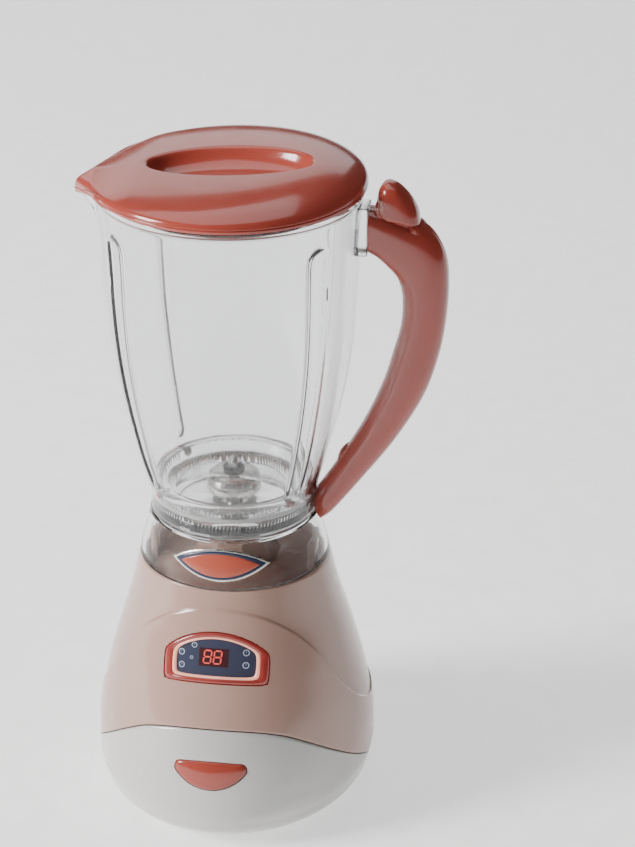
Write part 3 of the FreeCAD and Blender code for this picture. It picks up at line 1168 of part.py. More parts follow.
def handle_parts():
    """Front and back halves of the grip and the thumb lever that sits on it."""
    core = handle_core()
    neck_side = jar_outside(s.slip).fuse(skirt_solid(s.slip, 1.0))
    pivot = Vector(s.thumb_pivot_x, 0, s.thumb_pivot_z)
    across = Vector(0, 1, 0)
    slot = Part.makeBox(8.6, 2 * (s.thumb_stem_half_width + s.gap), 16, Vector(
        s.thumb_pivot_x - 4.2, -s.thumb_stem_half_width - s.gap, s.thumb_pivot_z - 4.0))
    lugs = handle_lugs(s.slip)
    pin = round_bar(s.thumb_pin_radius + 0.02, (pivot.x, -s.thumb_pin_half, pivot.z),
                    (pivot.x, s.thumb_pin_half, pivot.z))
    halves = []
    for side in (-1, 1):
        whole = front_half(0.0)
        if side > 0:
            whole = whole.mirror(Vector(0, 0, 0), Vector(0, 1, 0))
        half = whole.cut(core)
        for x, z in SCREW_PLACES:
            half = half.fuse(round_bar(s.post_radius - 0.4, (x, 0, z), (x, side * 8.5, z)).common(whole))
        half.translate(Vector(0, side * s.flat_gap / 2, 0))
        for tool in (neck_side, slot, lugs[1], lugs[2], pin):
            half = half.cut(tool)
        for x, z in SCREW_PLACES:
            if side < 0:
                half = half.cut(round_bar(s.screw_radius, (x, -6.0, z), (x, 1, z)))
            else:
                half = half.cut(round_bar(s.screw_radius + s.slip, (x, -1, z), (x, 12, z)))
                half = half.cut(round_bar(s.screw_head_radius + s.slip, (x, s.handle_screw_y, z), (x, 12, z)))
        if side > 0:
            half = half.cut(round_bar(s.thumb_spring_radius + s.slip, (pivot.x, 0, pivot.z), (
                pivot.x, s.thumb_stem_half_width + s.thumb_spring_width + 2 * s.slip, pivot.z)))
        halves.append(solid_of(half))
    rim = [Vector(x, 0, z) for x, z in THUMB_OUTLINE]
    spline = Part.BSplineCurve()
    spline.interpolate(rim)
    close = [Part.makeLine(rim[-1], Vector(75, 0, 254)), Part.makeLine(Vector(75, 0, 254), Vector(60, 0, 254)),
             Part.makeLine(Vector(60, 0, 254), rim[0])]
    hump = slab([spline.toShape()] + close, s.thumb_half_width)
    long_edges = [e for e in hump.Edges if isinstance(e.Curve, Part.BSplineCurve)]
    hump = hump.makeFillet(s.thumb_round, long_edges)
    grown = handle_form(s.gap)
    tipped = grown.copy()
    tipped.rotate(pivot, across, -s.thumb_travel)
    lever = hump.cut(grown).cut(tipped)
    neck = Part.makeBox(5.0, 2 * s.thumb_stem_half_width, 12, Vector(
        s.thumb_pivot_x - 2.5, -s.thumb_stem_half_width, s.thumb_pivot_z))
    stem = round_bar(s.thumb_stem_radius, (pivot.x, -s.thumb_stem_half_width, pivot.z),
                     (pivot.x, s.thumb_stem_half_width, pivot.z))
    lever = lever.fuse(neck).fuse(stem)
    lever = lever.cut(round_bar(s.thumb_pin_radius + s.running, (pivot.x, -20, pivot.z), (pivot.x, 20, pivot.z)))
    return halves, solid_of(lever)


handle_halves, thumb_solid = handle_parts()
feature("handle_front", handle_halves[0])
feature("handle_back", handle_halves[1])
feature("thumb_lever", thumb_solid)


def make_handle_screws():
    """Three screws driven in from the back half."""
    turn = Rotation(Vector(1, 0, 0), -90)
    screws = []
    for k, (x, z) in enumerate(SCREW_PLACES):
        at = (Size(x, str(x)), ZERO, Size(z, str(z)))
        head = rod("handle_head_%d" % k, s.screw_head_radius, s.screw_head,
                   (at[0], s.handle_screw_y + s.flat_gap, at[2]), turn)
        shank = rod("handle_shank_%d" % k, s.screw_radius - s.running, s.handle_screw_y + 5.5,
                    (at[0], Size(-5.0, "-5"), at[2]), turn)
        screws.append(joined("handle_screw_%d" % k, [head, shank]))
    return joined("handle_screws", screws)


make_handle_screws()
turn_y = Rotation(Vector(1, 0, 0), -90)
rod("thumb_pin", s.thumb_pin_radius, (s.thumb_pin_half - s.flat_gap) * 2,
    (s.thumb_pivot_x, s.flat_gap - s.thumb_pin_half, s.thumb_pivot_z), turn_y)
spring_at = (s.thumb_pivot_x, s.thumb_stem_half_width + s.slip, s.thumb_pivot_z)
cut("thumb_spring", rod("thumb_coil", s.thumb_spring_radius, s.thumb_spring_width, spring_at, turn_y),
    rod("thumb_coil_hole", s.thumb_pin_radius + 0.02, s.thumb_spring_width, spring_at, turn_y))


# ---------------------------------------------------------------- check and export
NODES = (
    "base_upper", "base_lower", "feet", "base_screws", "batteries", "battery_box", "battery_contacts",
    "battery_door", "door_screw", "motor_can", "motor_cradle", "cradle_screws", "hub_bushing",
    "display_frame", "display_panel", "led_module", "circuit_board", "push_switch", "button_spring",
    "start_button", "switch_plunger", "motor_shaft", "drive_spindle",
    "jar", "jar_collar", "badge", "blade_seat", "jar_gasket", "seat_pins", "shaft_bushing", "shaft_seal",
    "driven_coupling", "blade_shaft", "blade_hub", "blade_wings", "blade_washer", "blade_nut",
    "lid_shell", "lid_seal", "handle_front", "handle_back", "handle_screws", "thumb_lever", "thumb_pin",
    "thumb_spring")

doc.recompute()
for made in doc.Objects:
    if "Invalid" in made.State or "Error" in made.State:
        raise RuntimeError("%s did not recompute" % made.Label)
os.makedirs("parts", exist_ok=True)
for node in NODES:
    shape = doc.getObject(node).Shape
    if shape.isNull() or not shape.isValid():
        raise RuntimeError("%s is not a valid shape" % node)
    shape.exportStep("parts/%s.step" % node)
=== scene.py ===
import json
import logging
import math
from dataclasses import dataclass
from enum import Enum
from typing import Callable, Optional, Sequence

import bmesh
import bpy
import numpy as np
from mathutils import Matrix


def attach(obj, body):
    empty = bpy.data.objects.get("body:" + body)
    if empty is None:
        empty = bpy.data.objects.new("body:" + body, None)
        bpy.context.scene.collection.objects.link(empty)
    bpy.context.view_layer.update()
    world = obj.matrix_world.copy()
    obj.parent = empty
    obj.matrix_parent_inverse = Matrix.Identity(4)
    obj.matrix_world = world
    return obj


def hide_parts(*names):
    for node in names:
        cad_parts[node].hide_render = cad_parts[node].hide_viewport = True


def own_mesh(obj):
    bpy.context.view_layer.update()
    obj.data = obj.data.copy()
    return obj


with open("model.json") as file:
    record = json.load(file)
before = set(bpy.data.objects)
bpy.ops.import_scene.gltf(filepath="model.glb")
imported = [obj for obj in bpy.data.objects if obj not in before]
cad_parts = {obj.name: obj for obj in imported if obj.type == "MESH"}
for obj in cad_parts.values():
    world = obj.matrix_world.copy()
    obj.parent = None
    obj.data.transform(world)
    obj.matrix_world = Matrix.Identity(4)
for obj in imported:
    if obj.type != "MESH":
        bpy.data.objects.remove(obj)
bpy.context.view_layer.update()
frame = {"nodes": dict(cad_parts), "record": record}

MM = 0.001
MERGE_MM = 0.004
FAR_MM = 999.0
LOG = logging.getLogger("toy_blender")
Grid = np.ndarray


# ---------------------------------------------------------------- curves and surfaces
def smooth_curve(knots: Sequence[float], values: Sequence[float], at: Grid) -> Grid:
    """A smooth line through (knot, value) pairs: cubic pieces whose slopes are weighted central slopes.

    Args:
        knots: Rising positions.
        values: The value at each knot.
        at: Positions to evaluate, clamped to the knots' span.

    Returns:
        The interpolated values, shaped like at.
    """
    x, y = np.asarray(knots, float), np.asarray(values, float)
    step, rise = np.diff(x), np.diff(y)
    slope = rise / step
    inner = (slope[:-1] * step[1:] + slope[1:] * step[:-1]) / (step[:-1] + step[1:])
    tangent = np.concatenate([[slope[0]], inner, [slope[-1]]])
    at = np.clip(np.asarray(at, float), x[0], x[-1])
    k = np.clip(np.searchsorted(x, at, side="right") - 1, 0, len(x) - 2)
    t = (at - x[k]) / step[k]
    h00, h10 = 2 * t ** 3 - 3 * t ** 2 + 1, t ** 3 - 2 * t ** 2 + t
    h01, h11 = 3 * t ** 2 - 2 * t ** 3, t ** 3 - t ** 2
    return h00 * y[k] + h10 * step[k] * tangent[k] + h01 * y[k + 1] + h11 * step[k] * tangent[k + 1]


def ease(value: Grid, low: float, high: float) -> Grid:
    """Smooth step from 0 at low to 1 at high."""
    t = np.clip((np.asarray(value, float) - low) / (high - low), 0.0, 1.0)
    return t * t * (3 - 2 * t)


def soft_min(a: Grid, b: Grid, blend: float) -> Grid:
    """The lower of two fields with a rounded corner where they cross: mean less half the smoothed gap."""
    return 0.5 * (a + b - np.sqrt((a - b) ** 2 + blend ** 2))


def soft_max(a: Grid, b: Grid, blend: float) -> Grid:
    """The higher of two fields with a rounded corner where they cross."""
    return -soft_min(-a, -b, blend)


def path_points(corners: Sequence[Sequence[float]], count: int) -> Grid:
    """Even points along a polyline of corners.

    Args:
        corners: The polyline's corners, any dimension.
        count: How many points to give.

    Returns:
        An array (count, dimension), evenly spaced by length.
    """
    pts = np.asarray(corners, float)
    run = np.concatenate([[0.0], np.cumsum(np.linalg.norm(np.diff(pts, axis=0), axis=1))])
    at = np.linspace(0.0, run[-1], count)
    return np.stack([np.interp(at, run, pts[:, k]) for k in range(pts.shape[1])], axis=1)


def rounded_path(corners: Sequence[Sequence[float]], count: int, passes: int) -> Grid:
    """Even points along a polyline whose corners are rounded by repeated averaging of neighbours."""
    pts = path_points(corners, count)
    for _ in range(passes):
        pts[1:-1] = 0.25 * pts[:-2] + 0.5 * pts[1:-1] + 0.25 * pts[2:]
    return pts


def circle(count: int) -> Grid:
    """Angles round a full turn, the last one short of the first."""
    return np.linspace(0.0, 2 * math.pi, count, endpoint=False)


def polar(radius: Grid, angle: Grid, z: Grid) -> Grid:
    """Points (..., 3) at a distance from the Z axis, an angle and a height."""
    return np.stack([radius * np.cos(angle), radius * np.sin(angle), z + 0 * angle], axis=-1)


def quads_of(index: Grid) -> Grid:
    """The four corner numbers of each quad between the rows and columns of a grid of point numbers."""
    return np.stack([index[:-1, :-1], index[1:, :-1], index[1:, 1:], index[:-1, 1:]], axis=-1)


def ring_centres(grid: Grid) -> Grid:
    """Middles of the quads of a grid of points whose last row joins its first."""
    after = np.roll(grid, -1, axis=0)
    return (grid[:, :-1] + after[:, :-1] + grid[:, 1:] + after[:, 1:]) / 4


def ray_length(gap: Callable[[Grid, Grid], Grid], turn: Grid, limit: float) -> Grid:
    """Length of each ray from the origin to the place where a field turns positive, by halving.

    Args:
        gap: The field of two coordinates, negative at the origin.
        turn: Angles of the rays.
        limit: A length that lies outside.

    Returns:
        The lengths.
    """
    near, far = np.zeros(turn.size), np.full(turn.size, limit)
    for _ in range(40):
        half = (near + far) / 2
        inside = gap(half * np.cos(turn), half * np.sin(turn)) < 0
        near, far = np.where(inside, half, near), np.where(inside, far, half)
    return near


def slope_of(gap: Callable[[Grid, Grid], Grid], a: Grid, b: Grid) -> tuple:
    """Rates of change of a field of two coordinates, by a small step in each."""
    small = 1e-3
    here = gap(a, b)
    return (gap(a + small, b) - here) / small, (gap(a, b + small) - here) / small


def surface(name: str, points: Grid, wrap_u: bool = False, wrap_v: bool = False,
            keep: Optional[Grid] = None, sharp: float = 35.0,
            facing: Optional[Sequence[float]] = None) -> bpy.types.Object:
    """A mesh of quads over a grid of points, in millimetres, with poles and seams closed.

    Args:
        name: Name of the new object.
        points: Array (u, v, 3).
        wrap_u: Join the last row to the first.
        wrap_v: Join the last column to the first.
        keep: Optional mask of the quads that stay.
        sharp: Edges steeper than this many degrees stay crisp.
        facing: Direction that an open sheet's faces look in.

    Returns:
        The new object, with its place in its mesh.
    """
    rows, columns = points.shape[:2]
    index = np.arange(rows * columns).reshape(rows, columns)
    if wrap_u:
        index = np.concatenate([index, index[:1]], axis=0)
    if wrap_v:
        index = np.concatenate([index, index[:, :1]], axis=1)
    quads = quads_of(index)
    quads = quads[keep] if keep is not None else quads.reshape(-1, 4)
    mesh = bpy.data.meshes.new(name)
    mesh.from_pydata((points.reshape(-1, 3) * MM).tolist(), [], quads.reshape(-1, 4).tolist())
    return finish_mesh(name, mesh, sharp, facing)


def sheets(name: str, grids: Sequence[Grid], facing: Sequence[float]) -> bpy.types.Object:
    """One mesh from several small grids of points, in millimetres.

    Args:
        name: Name of the new object.
        grids: Arrays (u, v, 3).
        facing: Direction that the faces look in.

    Returns:
        The new object.
    """
    points, quads, start = [], [], 0
    for grid in grids:
        rows, columns = grid.shape[:2]
        index = start + np.arange(rows * columns).reshape(rows, columns)
        quads.append(quads_of(index).reshape(-1, 4))
        points.append(grid.reshape(-1, 3))
        start += rows * columns
    mesh = bpy.data.meshes.new(name)
    mesh.from_pydata((np.concatenate(points) * MM).tolist(), [], np.concatenate(quads).tolist())
    return finish_mesh(name, mesh, 35.0, facing)


def finish_mesh(name: str, mesh: bpy.types.Mesh, sharp: float,
                facing: Optional[Sequence[float]] = None) -> bpy.types.Object:
    """Merge doubled points, point faces outwards and shade smooth with crisp edges kept.

    Args:
        name: Name of the new object.
        mesh: The mesh to finish.
        sharp: Edges steeper than this many degrees stay crisp.
        facing: Direction that an open sheet's faces look in.

    Returns:
        The object that holds the mesh.
    """
    work = bmesh.new()
    work.from_mesh(mesh)
    bmesh.ops.remove_doubles(work, verts=work.verts, dist=MERGE_MM * MM)
    loose = [vertex for vertex in work.verts if not vertex.link_faces]
    bmesh.ops.delete(work, geom=loose, context="VERTS")
    bmesh.ops.recalc_face_normals(work, faces=work.faces)
    if facing is not None:
        away = [face for face in work.faces if np.dot(face.normal, facing) < 0]
        bmesh.ops.reverse_faces(work, faces=away)
    work.to_mesh(mesh)
    work.free()
    mesh.shade_smooth()
    mesh.set_sharp_from_angle(angle=math.radians(sharp))
    made = bpy.data.objects.new(name, mesh)
    bpy.context.scene.collection.objects.link(made)
    return made


def turned(name: str, profile: Grid, count: int = 192, closed: bool = True) -> bpy.types.Object:
    """Turn a profile of (radius, height) points about the Z axis: x = r cos a, y = r sin a."""
    grid = polar(profile[None, :, 0], circle(count)[:, None], profile[None, :, 1])
    return surface(name, grid, wrap_u=True, wrap_v=closed)


def rounded_block(name: str, low: Sequence[float], high: Sequence[float], soft: float = 0.16,
                  count: int = 40) -> bpy.types.Object:
    """A box with rounded edges: a superellipsoid, each axis a signed power of cosines and sines.

    Args:
        name: Name of the new object.
        low: Lowest corner in millimetres.
        high: Highest corner in millimetres.
        soft: Power of the cosines; smaller is squarer.
        count: Columns round the block.

    Returns:
        The new object.
    """
    def power(value: Grid) -> Grid:
        """The value's size to the block's power, with its sign."""
        return np.sign(value) * np.abs(value) ** soft

    u = circle(count)[:, None] + math.pi / count
    v = np.linspace(-math.pi / 2, math.pi / 2, count // 2 + 1)[None, :]
    middle, half = (np.add(low, high)) / 2, (np.subtract(high, low)) / 2
    unit = np.stack([power(np.cos(v)) * power(np.cos(u)), power(np.cos(v)) * power(np.sin(u)),
                     power(np.sin(v)) + 0 * u], axis=-1)
    return surface(name, middle + unit * half, wrap_u=True)


# ---------------------------------------------------------------- finishes
MIX_A, MIX_B, MIX_COLOUR = 6, 7, 2


class Nodes:
    """A small helper that adds and links shader nodes of one material."""

    def __init__(self, name: str) -> None:
        """Start a node material with a Principled shader.

        Args:
            name: Name of the material.
        """
        self.material = bpy.data.materials.new(name)
        self.material.use_nodes = True
        self.tree = self.material.node_tree
        self.shader = self.tree.nodes["Principled BSDF"]
        self.place = self.tree.nodes.new("ShaderNodeTexCoord").outputs["Object"]

    def add(self, kind: str, links: Optional[dict] = None, **settings: object) -> bpy.types.Node:
        """Add one node.

        Args:
            kind: Blender's node type.
            links: Input name to a value or to another node's output.
            settings: Node properties to set.

        Returns:
            The new node.
        """
        node = self.tree.nodes.new(kind)
        for key, value in settings.items():
            setattr(node, key, value)
        for key, value in (links or {}).items():
            if isinstance(value, bpy.types.NodeSocket):
                self.tree.links.new(value, node.inputs[key])
            else:
                node.inputs[key].default_value = value
        return node

    def noise(self, scale: float, detail: float = 3.0, rough: float = 0.5) -> bpy.types.NodeSocket:
        """A cloud pattern in object space, from 0 to 1, with scale features to the metre."""
        node = self.add("ShaderNodeTexNoise", {"Vector": self.place, "Scale": scale, "Detail": detail,
                                               "Roughness": rough})
        return node.outputs["Fac"]

    def stretched(self, upright: float, scale: float, detail: float) -> bpy.types.NodeSocket:
        """A cloud pattern whose heights are first multiplied by a factor."""
        place = self.add("ShaderNodeMapping", {"Vector": self.place, "Scale": (1.0, 1.0, upright)})
        node = self.add("ShaderNodeTexNoise", {"Vector": place.outputs["Vector"], "Scale": scale,
                                               "Detail": detail})
        return node.outputs["Fac"]

    def spread(self, source: bpy.types.NodeSocket, low: float, high: float) -> bpy.types.NodeSocket:
        """Map the middle of a cloud pattern to a range of numbers."""
        node = self.add("ShaderNodeMapRange", {"Value": source, "From Min": 0.3, "From Max": 0.7,
                                               "To Min": low, "To Max": high})
        return node.outputs["Result"]

    def mix(self, factor: bpy.types.NodeSocket, a: Sequence[float],
            b: Sequence[float]) -> bpy.types.NodeSocket:
        """Mix two colours by a pattern."""
        node = self.add("ShaderNodeMix", {0: factor}, data_type="RGBA")
        node.inputs[MIX_A].default_value = (*a, 1.0)
        node.inputs[MIX_B].default_value = (*b, 1.0)
        return node.outputs[MIX_COLOUR]

    def clouded(self, pattern: bpy.types.NodeSocket, colour: Sequence[float],
                darker: float) -> bpy.types.NodeSocket:
        """A colour that a pattern turns to a share of itself."""
        return self.mix(self.spread(pattern, 0.0, 1.0), colour, [c * darker for c in colour])

    def drive(self, name: str, source: bpy.types.NodeSocket) -> None:
        """Link a pattern to one of the shader's sockets."""
        self.tree.links.new(source, self.shader.inputs[name])

    def fix(self, **values: object) -> None:
        """Set constants on the shader, with spaces written as underscores."""
        for key, value in values.items():
            self.shader.inputs[key.replace("_", " ")].default_value = value

    def relief(self, layers: Sequence[tuple]) -> None:
        """Add bumps to the shader, coarse to fine.

        Args:
            layers: (pattern, strength, depth in millimetres) for each bump.
        """
        last = None
        for pattern, strength, depth in layers:
            inputs = {"Height": pattern, "Strength": strength, "Distance": depth * MM}
            if last is not None:
                inputs["Normal"] = last
            last = self.add("ShaderNodeBump", inputs).outputs["Normal"]
        self.drive("Normal", last)


@dataclass(frozen=True)
class GlossPlastic:
    """Injection-moulded plastic: faint flow clouds, tiny specks, a soft ripple and fine wipe marks."""

    name: str
    colour: tuple
    shade: tuple
    gloss: float = 0.16
    ripple: float = 0.25
    coat: float = 0.5
    depth: float = 0.06
    cloud_scale: float = 18.0
    speck_scale: float = 2600.0
    wipe_scale: float = 110.0
    ripple_scale: float = 46.0
    grain_scale: float = 1500.0

    def build(self) -> bpy.types.Material:
        """Make the material.

        Returns:
            The finished material.
        """
        n = Nodes(self.name)
        clouds = n.spread(n.noise(self.cloud_scale, 4.0), 0.0, 1.0)
        specks = n.spread(n.noise(self.speck_scale, 1.0), 0.0, 0.12)
        base = n.mix(clouds, self.colour, self.shade)
        speck = n.add("ShaderNodeMix", {0: specks, MIX_A: base}, data_type="RGBA")
        speck.inputs[MIX_B].default_value = (*[c * 0.7 for c in self.shade], 1.0)
        n.drive("Base Color", speck.outputs[MIX_COLOUR])
        wipes = n.noise(self.wipe_scale, 5.0, 0.65)
        n.drive("Roughness", n.spread(wipes, self.gloss, self.gloss + 0.10))
        n.fix(IOR=1.50, Coat_Weight=self.coat, Coat_Roughness=0.06, Subsurface_Weight=self.depth,
              Subsurface_Radius=(1.0, 0.35, 0.25), Subsurface_Scale=0.002)
        n.relief([(n.noise(self.ripple_scale, 2.0), self.ripple, 0.10),
                  (n.noise(self.grain_scale, 2.0), 0.10, 0.02)])
        return n.material


@dataclass(frozen=True)
class ClearPlastic:
    """Clear moulded plastic with slow waves from the mould, faint haze and hair scratches."""

    name: str
    tint: tuple
    waves: float = 0.30
    haze: float = 0.02
    bend: float = 1.49
    cloud_scale: float = 30.0
    haze_scale: float = 90.0
    wave_scale: float = 60.0
    scratch_scale: float = 1900.0

    def build(self) -> bpy.types.Material:
        """Make the material.

        Returns:
            The finished material.
        """
        n = Nodes(self.name)
        n.drive("Base Color", n.clouded(n.noise(self.cloud_scale, 3.0), self.tint, 0.985))
        n.drive("Roughness", n.spread(n.noise(self.haze_scale, 6.0, 0.7), self.haze, self.haze + 0.05))
        n.fix(Transmission_Weight=1.0, IOR=self.bend)
        waves = n.stretched(0.16, self.wave_scale, 1.5)
        n.relief([(waves, self.waves, 0.35), (n.noise(self.scratch_scale, 2.0), 0.04, 0.01)])
        return n.material


@dataclass(frozen=True)
class Metal:
    """Turned or drawn metal: stretched grain, uneven polish and a little tarnish."""

    name: str
    colour: tuple
    rough: float = 0.25
    grain: float = 0.25
    tarnish_scale: float = 160.0
    polish_scale: float = 420.0
    line_scale: float = 520.0

    def build(self) -> bpy.types.Material:
        """Make the material.

        Returns:
            The finished material.
        """
        n = Nodes(self.name)
        n.drive("Base Color", n.clouded(n.noise(self.tarnish_scale, 5.0, 0.6), self.colour, 0.82))
        n.drive("Roughness", n.spread(n.noise(self.polish_scale, 3.0), self.rough, self.rough + 0.12))
        n.fix(Metallic=1.0)
        n.relief([(n.stretched(14.0, self.line_scale, 2.0), self.grain, 0.02)])
        return n.material


@dataclass(frozen=True)
class MattPlastic:
    """Unpolished moulding or soft rubber with spark-eroded texture and handling marks."""

    name: str
    colour: tuple
    rough: float = 0.55
    texture: float = 0.4
    mark_scale: float = 70.0
    sheen_scale: float = 240.0
    grain_scale: float = 1700.0

    def build(self) -> bpy.types.Material:
        """Make the material.

        Returns:
            The finished material.
        """
        n = Nodes(self.name)
        n.drive("Base Color", n.clouded(n.noise(self.mark_scale, 5.0, 0.6), self.colour, 0.86))
        n.drive("Roughness", n.spread(n.noise(self.sheen_scale, 4.0), self.rough - 0.06, self.rough + 0.10))
        n.relief([(n.noise(self.grain_scale, 3.0, 0.6), self.texture, 0.04)])
        return n.material


@dataclass(frozen=True)
class LitPlastic:
    """Plastic that glows a little from a lamp behind it, with a cloudy spread of light."""

    name: str
    colour: tuple
    glow: tuple
    power: float
    cloud_scale: float = 140.0
    gloss_scale: float = 300.0
    grain_scale: float = 900.0

    def build(self) -> bpy.types.Material:
        """Make the material.

        Returns:
            The finished material.
        """
        n = Nodes(self.name)
        clouds = n.noise(self.cloud_scale, 3.0)
        n.drive("Base Color", n.clouded(clouds, self.colour, 0.8))
        n.drive("Emission Color", n.clouded(clouds, self.glow, 0.75))
        n.drive("Roughness", n.spread(n.noise(self.gloss_scale, 3.0), 0.12, 0.22))
        n.fix(Emission_Strength=self.power, Coat_Weight=0.4, Coat_Roughness=0.05)
        n.relief([(n.noise(self.grain_scale, 2.0), 0.08, 0.02)])
        return n.material


class Finish(Enum):
    """Every finish of the toy."""

    CORAL = GlossPlastic("coral_plastic", (0.36, 0.060, 0.042), (0.32, 0.050, 0.034), gloss=0.13, coat=0.25)
    PINK = GlossPlastic("pink_plastic", (0.45, 0.285, 0.235), (0.42, 0.260, 0.212), gloss=0.14, coat=0.3)
    # Lighter copy of the pink, painted light: the shell's top seen through the clear collar would otherwise
    # get too little light.
    PINK_PAINTED_LIGHT = GlossPlastic("pink_plastic_painted_lighter", (0.56, 0.375, 0.315), (0.53, 0.350, 0.290), gloss=0.2, coat=0.2)
    WHITE = GlossPlastic("white_plastic", (0.56, 0.555, 0.535), (0.53, 0.525, 0.505), gloss=0.15, coat=0.3)
    CLEAR = ClearPlastic("clear_plastic", (0.935, 0.945, 0.95), waves=0.7)
    COLLAR = ClearPlastic("clear_collar_plastic", (0.985, 0.98, 0.98), waves=0.25, bend=1.22)
    SILICONE = ClearPlastic("clear_silicone", (0.93, 0.93, 0.92), waves=0.2, haze=0.18)
    WING = ClearPlastic("clear_wing_plastic", (0.93, 0.94, 0.94), waves=0.45, haze=0.05)
    BADGE = GlossPlastic("badge_face_coral", (0.46, 0.095, 0.060), (0.43, 0.085, 0.052), gloss=0.12, coat=0.3)
    NAVY = GlossPlastic("badge_navy", (0.020, 0.030, 0.065), (0.030, 0.040, 0.075), gloss=0.14, depth=0.0)
    FRAME = LitPlastic("display_frame_glow", (0.26, 0.042, 0.036), (0.95, 0.06, 0.04), 0.12)
    LINE = LitPlastic("display_line_glow", (0.80, 0.36, 0.26), (1.0, 0.40, 0.26), 0.85)
    PANEL = GlossPlastic("display_panel_smoke", (0.050, 0.055, 0.090), (0.040, 0.045, 0.076), gloss=0.08,
                         depth=0.0)
    WINDOW = GlossPlastic("digit_window", (0.060, 0.018, 0.022), (0.045, 0.014, 0.018), gloss=0.08, depth=0.0)
    DIGIT = LitPlastic("lit_segments", (0.45, 0.06, 0.05), (1.0, 0.13, 0.10), 0.9)
    MARK = LitPlastic("panel_marks", (0.42, 0.48, 0.62), (0.35, 0.42, 0.60), 0.12)
    STEEL = Metal("plated_steel", (0.66, 0.66, 0.67), rough=0.22)
    CAN = Metal("motor_can_zinc", (0.62, 0.61, 0.58), rough=0.34)
    SILVER = Metal("silvered_hub", (0.80, 0.775, 0.73), rough=0.20, grain=0.12)
    BLACK = MattPlastic("black_plastic", (0.022, 0.022, 0.024), rough=0.40, texture=0.2)
    # A dark sheet that paints the shade in the groove between the two shells.
    SEAM_SHADOW = MattPlastic("seam_shadow", (0.050, 0.028, 0.024), rough=0.7, texture=0.2)
    RUBBER = MattPlastic("foot_rubber", (0.035, 0.035, 0.036), rough=0.75)
    SEAL = MattPlastic("silicone_seal", (0.72, 0.71, 0.68), rough=0.42, texture=0.15)
    INNER = MattPlastic("inner_plastic", (0.66, 0.65, 0.61), rough=0.50)
    ACETAL = MattPlastic("natural_acetal", (0.78, 0.77, 0.73), rough=0.42, texture=0.2)
    CELL = GlossPlastic("cell_wrap", (0.030, 0.032, 0.036), (0.045, 0.046, 0.050), gloss=0.22, depth=0.0)
    BOARD = MattPlastic("board_laminate", (0.035, 0.16, 0.075), rough=0.38, texture=0.3)
    PIN = GlossPlastic("pin_plastic", (0.36, 0.16, 0.14), (0.32, 0.14, 0.12), gloss=0.22)

    def material(self) -> bpy.types.Material:
        """The finish's material, made once."""
        if self not in MADE:
            MADE[self] = self.value.build()
        return MADE[self]


MADE: dict[Finish, bpy.types.Material] = {}


BODY_OF = {node: body for body, nodes in frame["record"]["behaviour"]["bodies"].items() for node in nodes}
SLOT_OF = {part["node"]: part["material_slot"] for part in frame["record"]["subparts"]}


def dress(piece: bpy.types.Object, node: str, finish: Finish, extra: bool = False) -> bpy.types.Object:
    """Give a piece its finish and the body of a CAD node.

    Args:
        piece: The new object.
        node: The CAD node that it stands for or belongs to.
        finish: Its finish.
        extra: Whether another piece stands for the node.

    Returns:
        The same object.
    """
    body, slot = BODY_OF[node], SLOT_OF[node]
    piece.data.materials.clear()
    piece.data.materials.append(finish.material())
    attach(piece, body)
    if not extra:
        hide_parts(node)
    LOG.info("%s: %d faces on %s", piece.name, len(piece.data.polygons), body)
    return piece


def refined(node: str, sharp: float = 28.0) -> bpy.types.Object:
    """A copy of a CAD node with its loose triangles merged and shaded smooth between crisp edges."""
    mesh = frame["nodes"][node].data.copy()
    return finish_mesh(node + "_smooth", mesh, sharp)


def read_points(piece: bpy.types.Object) -> Grid:
    """The piece's points as an array (count, 3) in millimetres."""
    flat = np.empty(len(piece.data.vertices) * 3)
    piece.data.vertices.foreach_get("co", flat)
    return flat.reshape(-1, 3) / MM


def write_points(piece: bpy.types.Object, points: Grid) -> None:
    """Move the piece's points to an array (count, 3) in millimetres."""
    piece.data.vertices.foreach_set("co", (points * MM).ravel())
    piece.data.update()


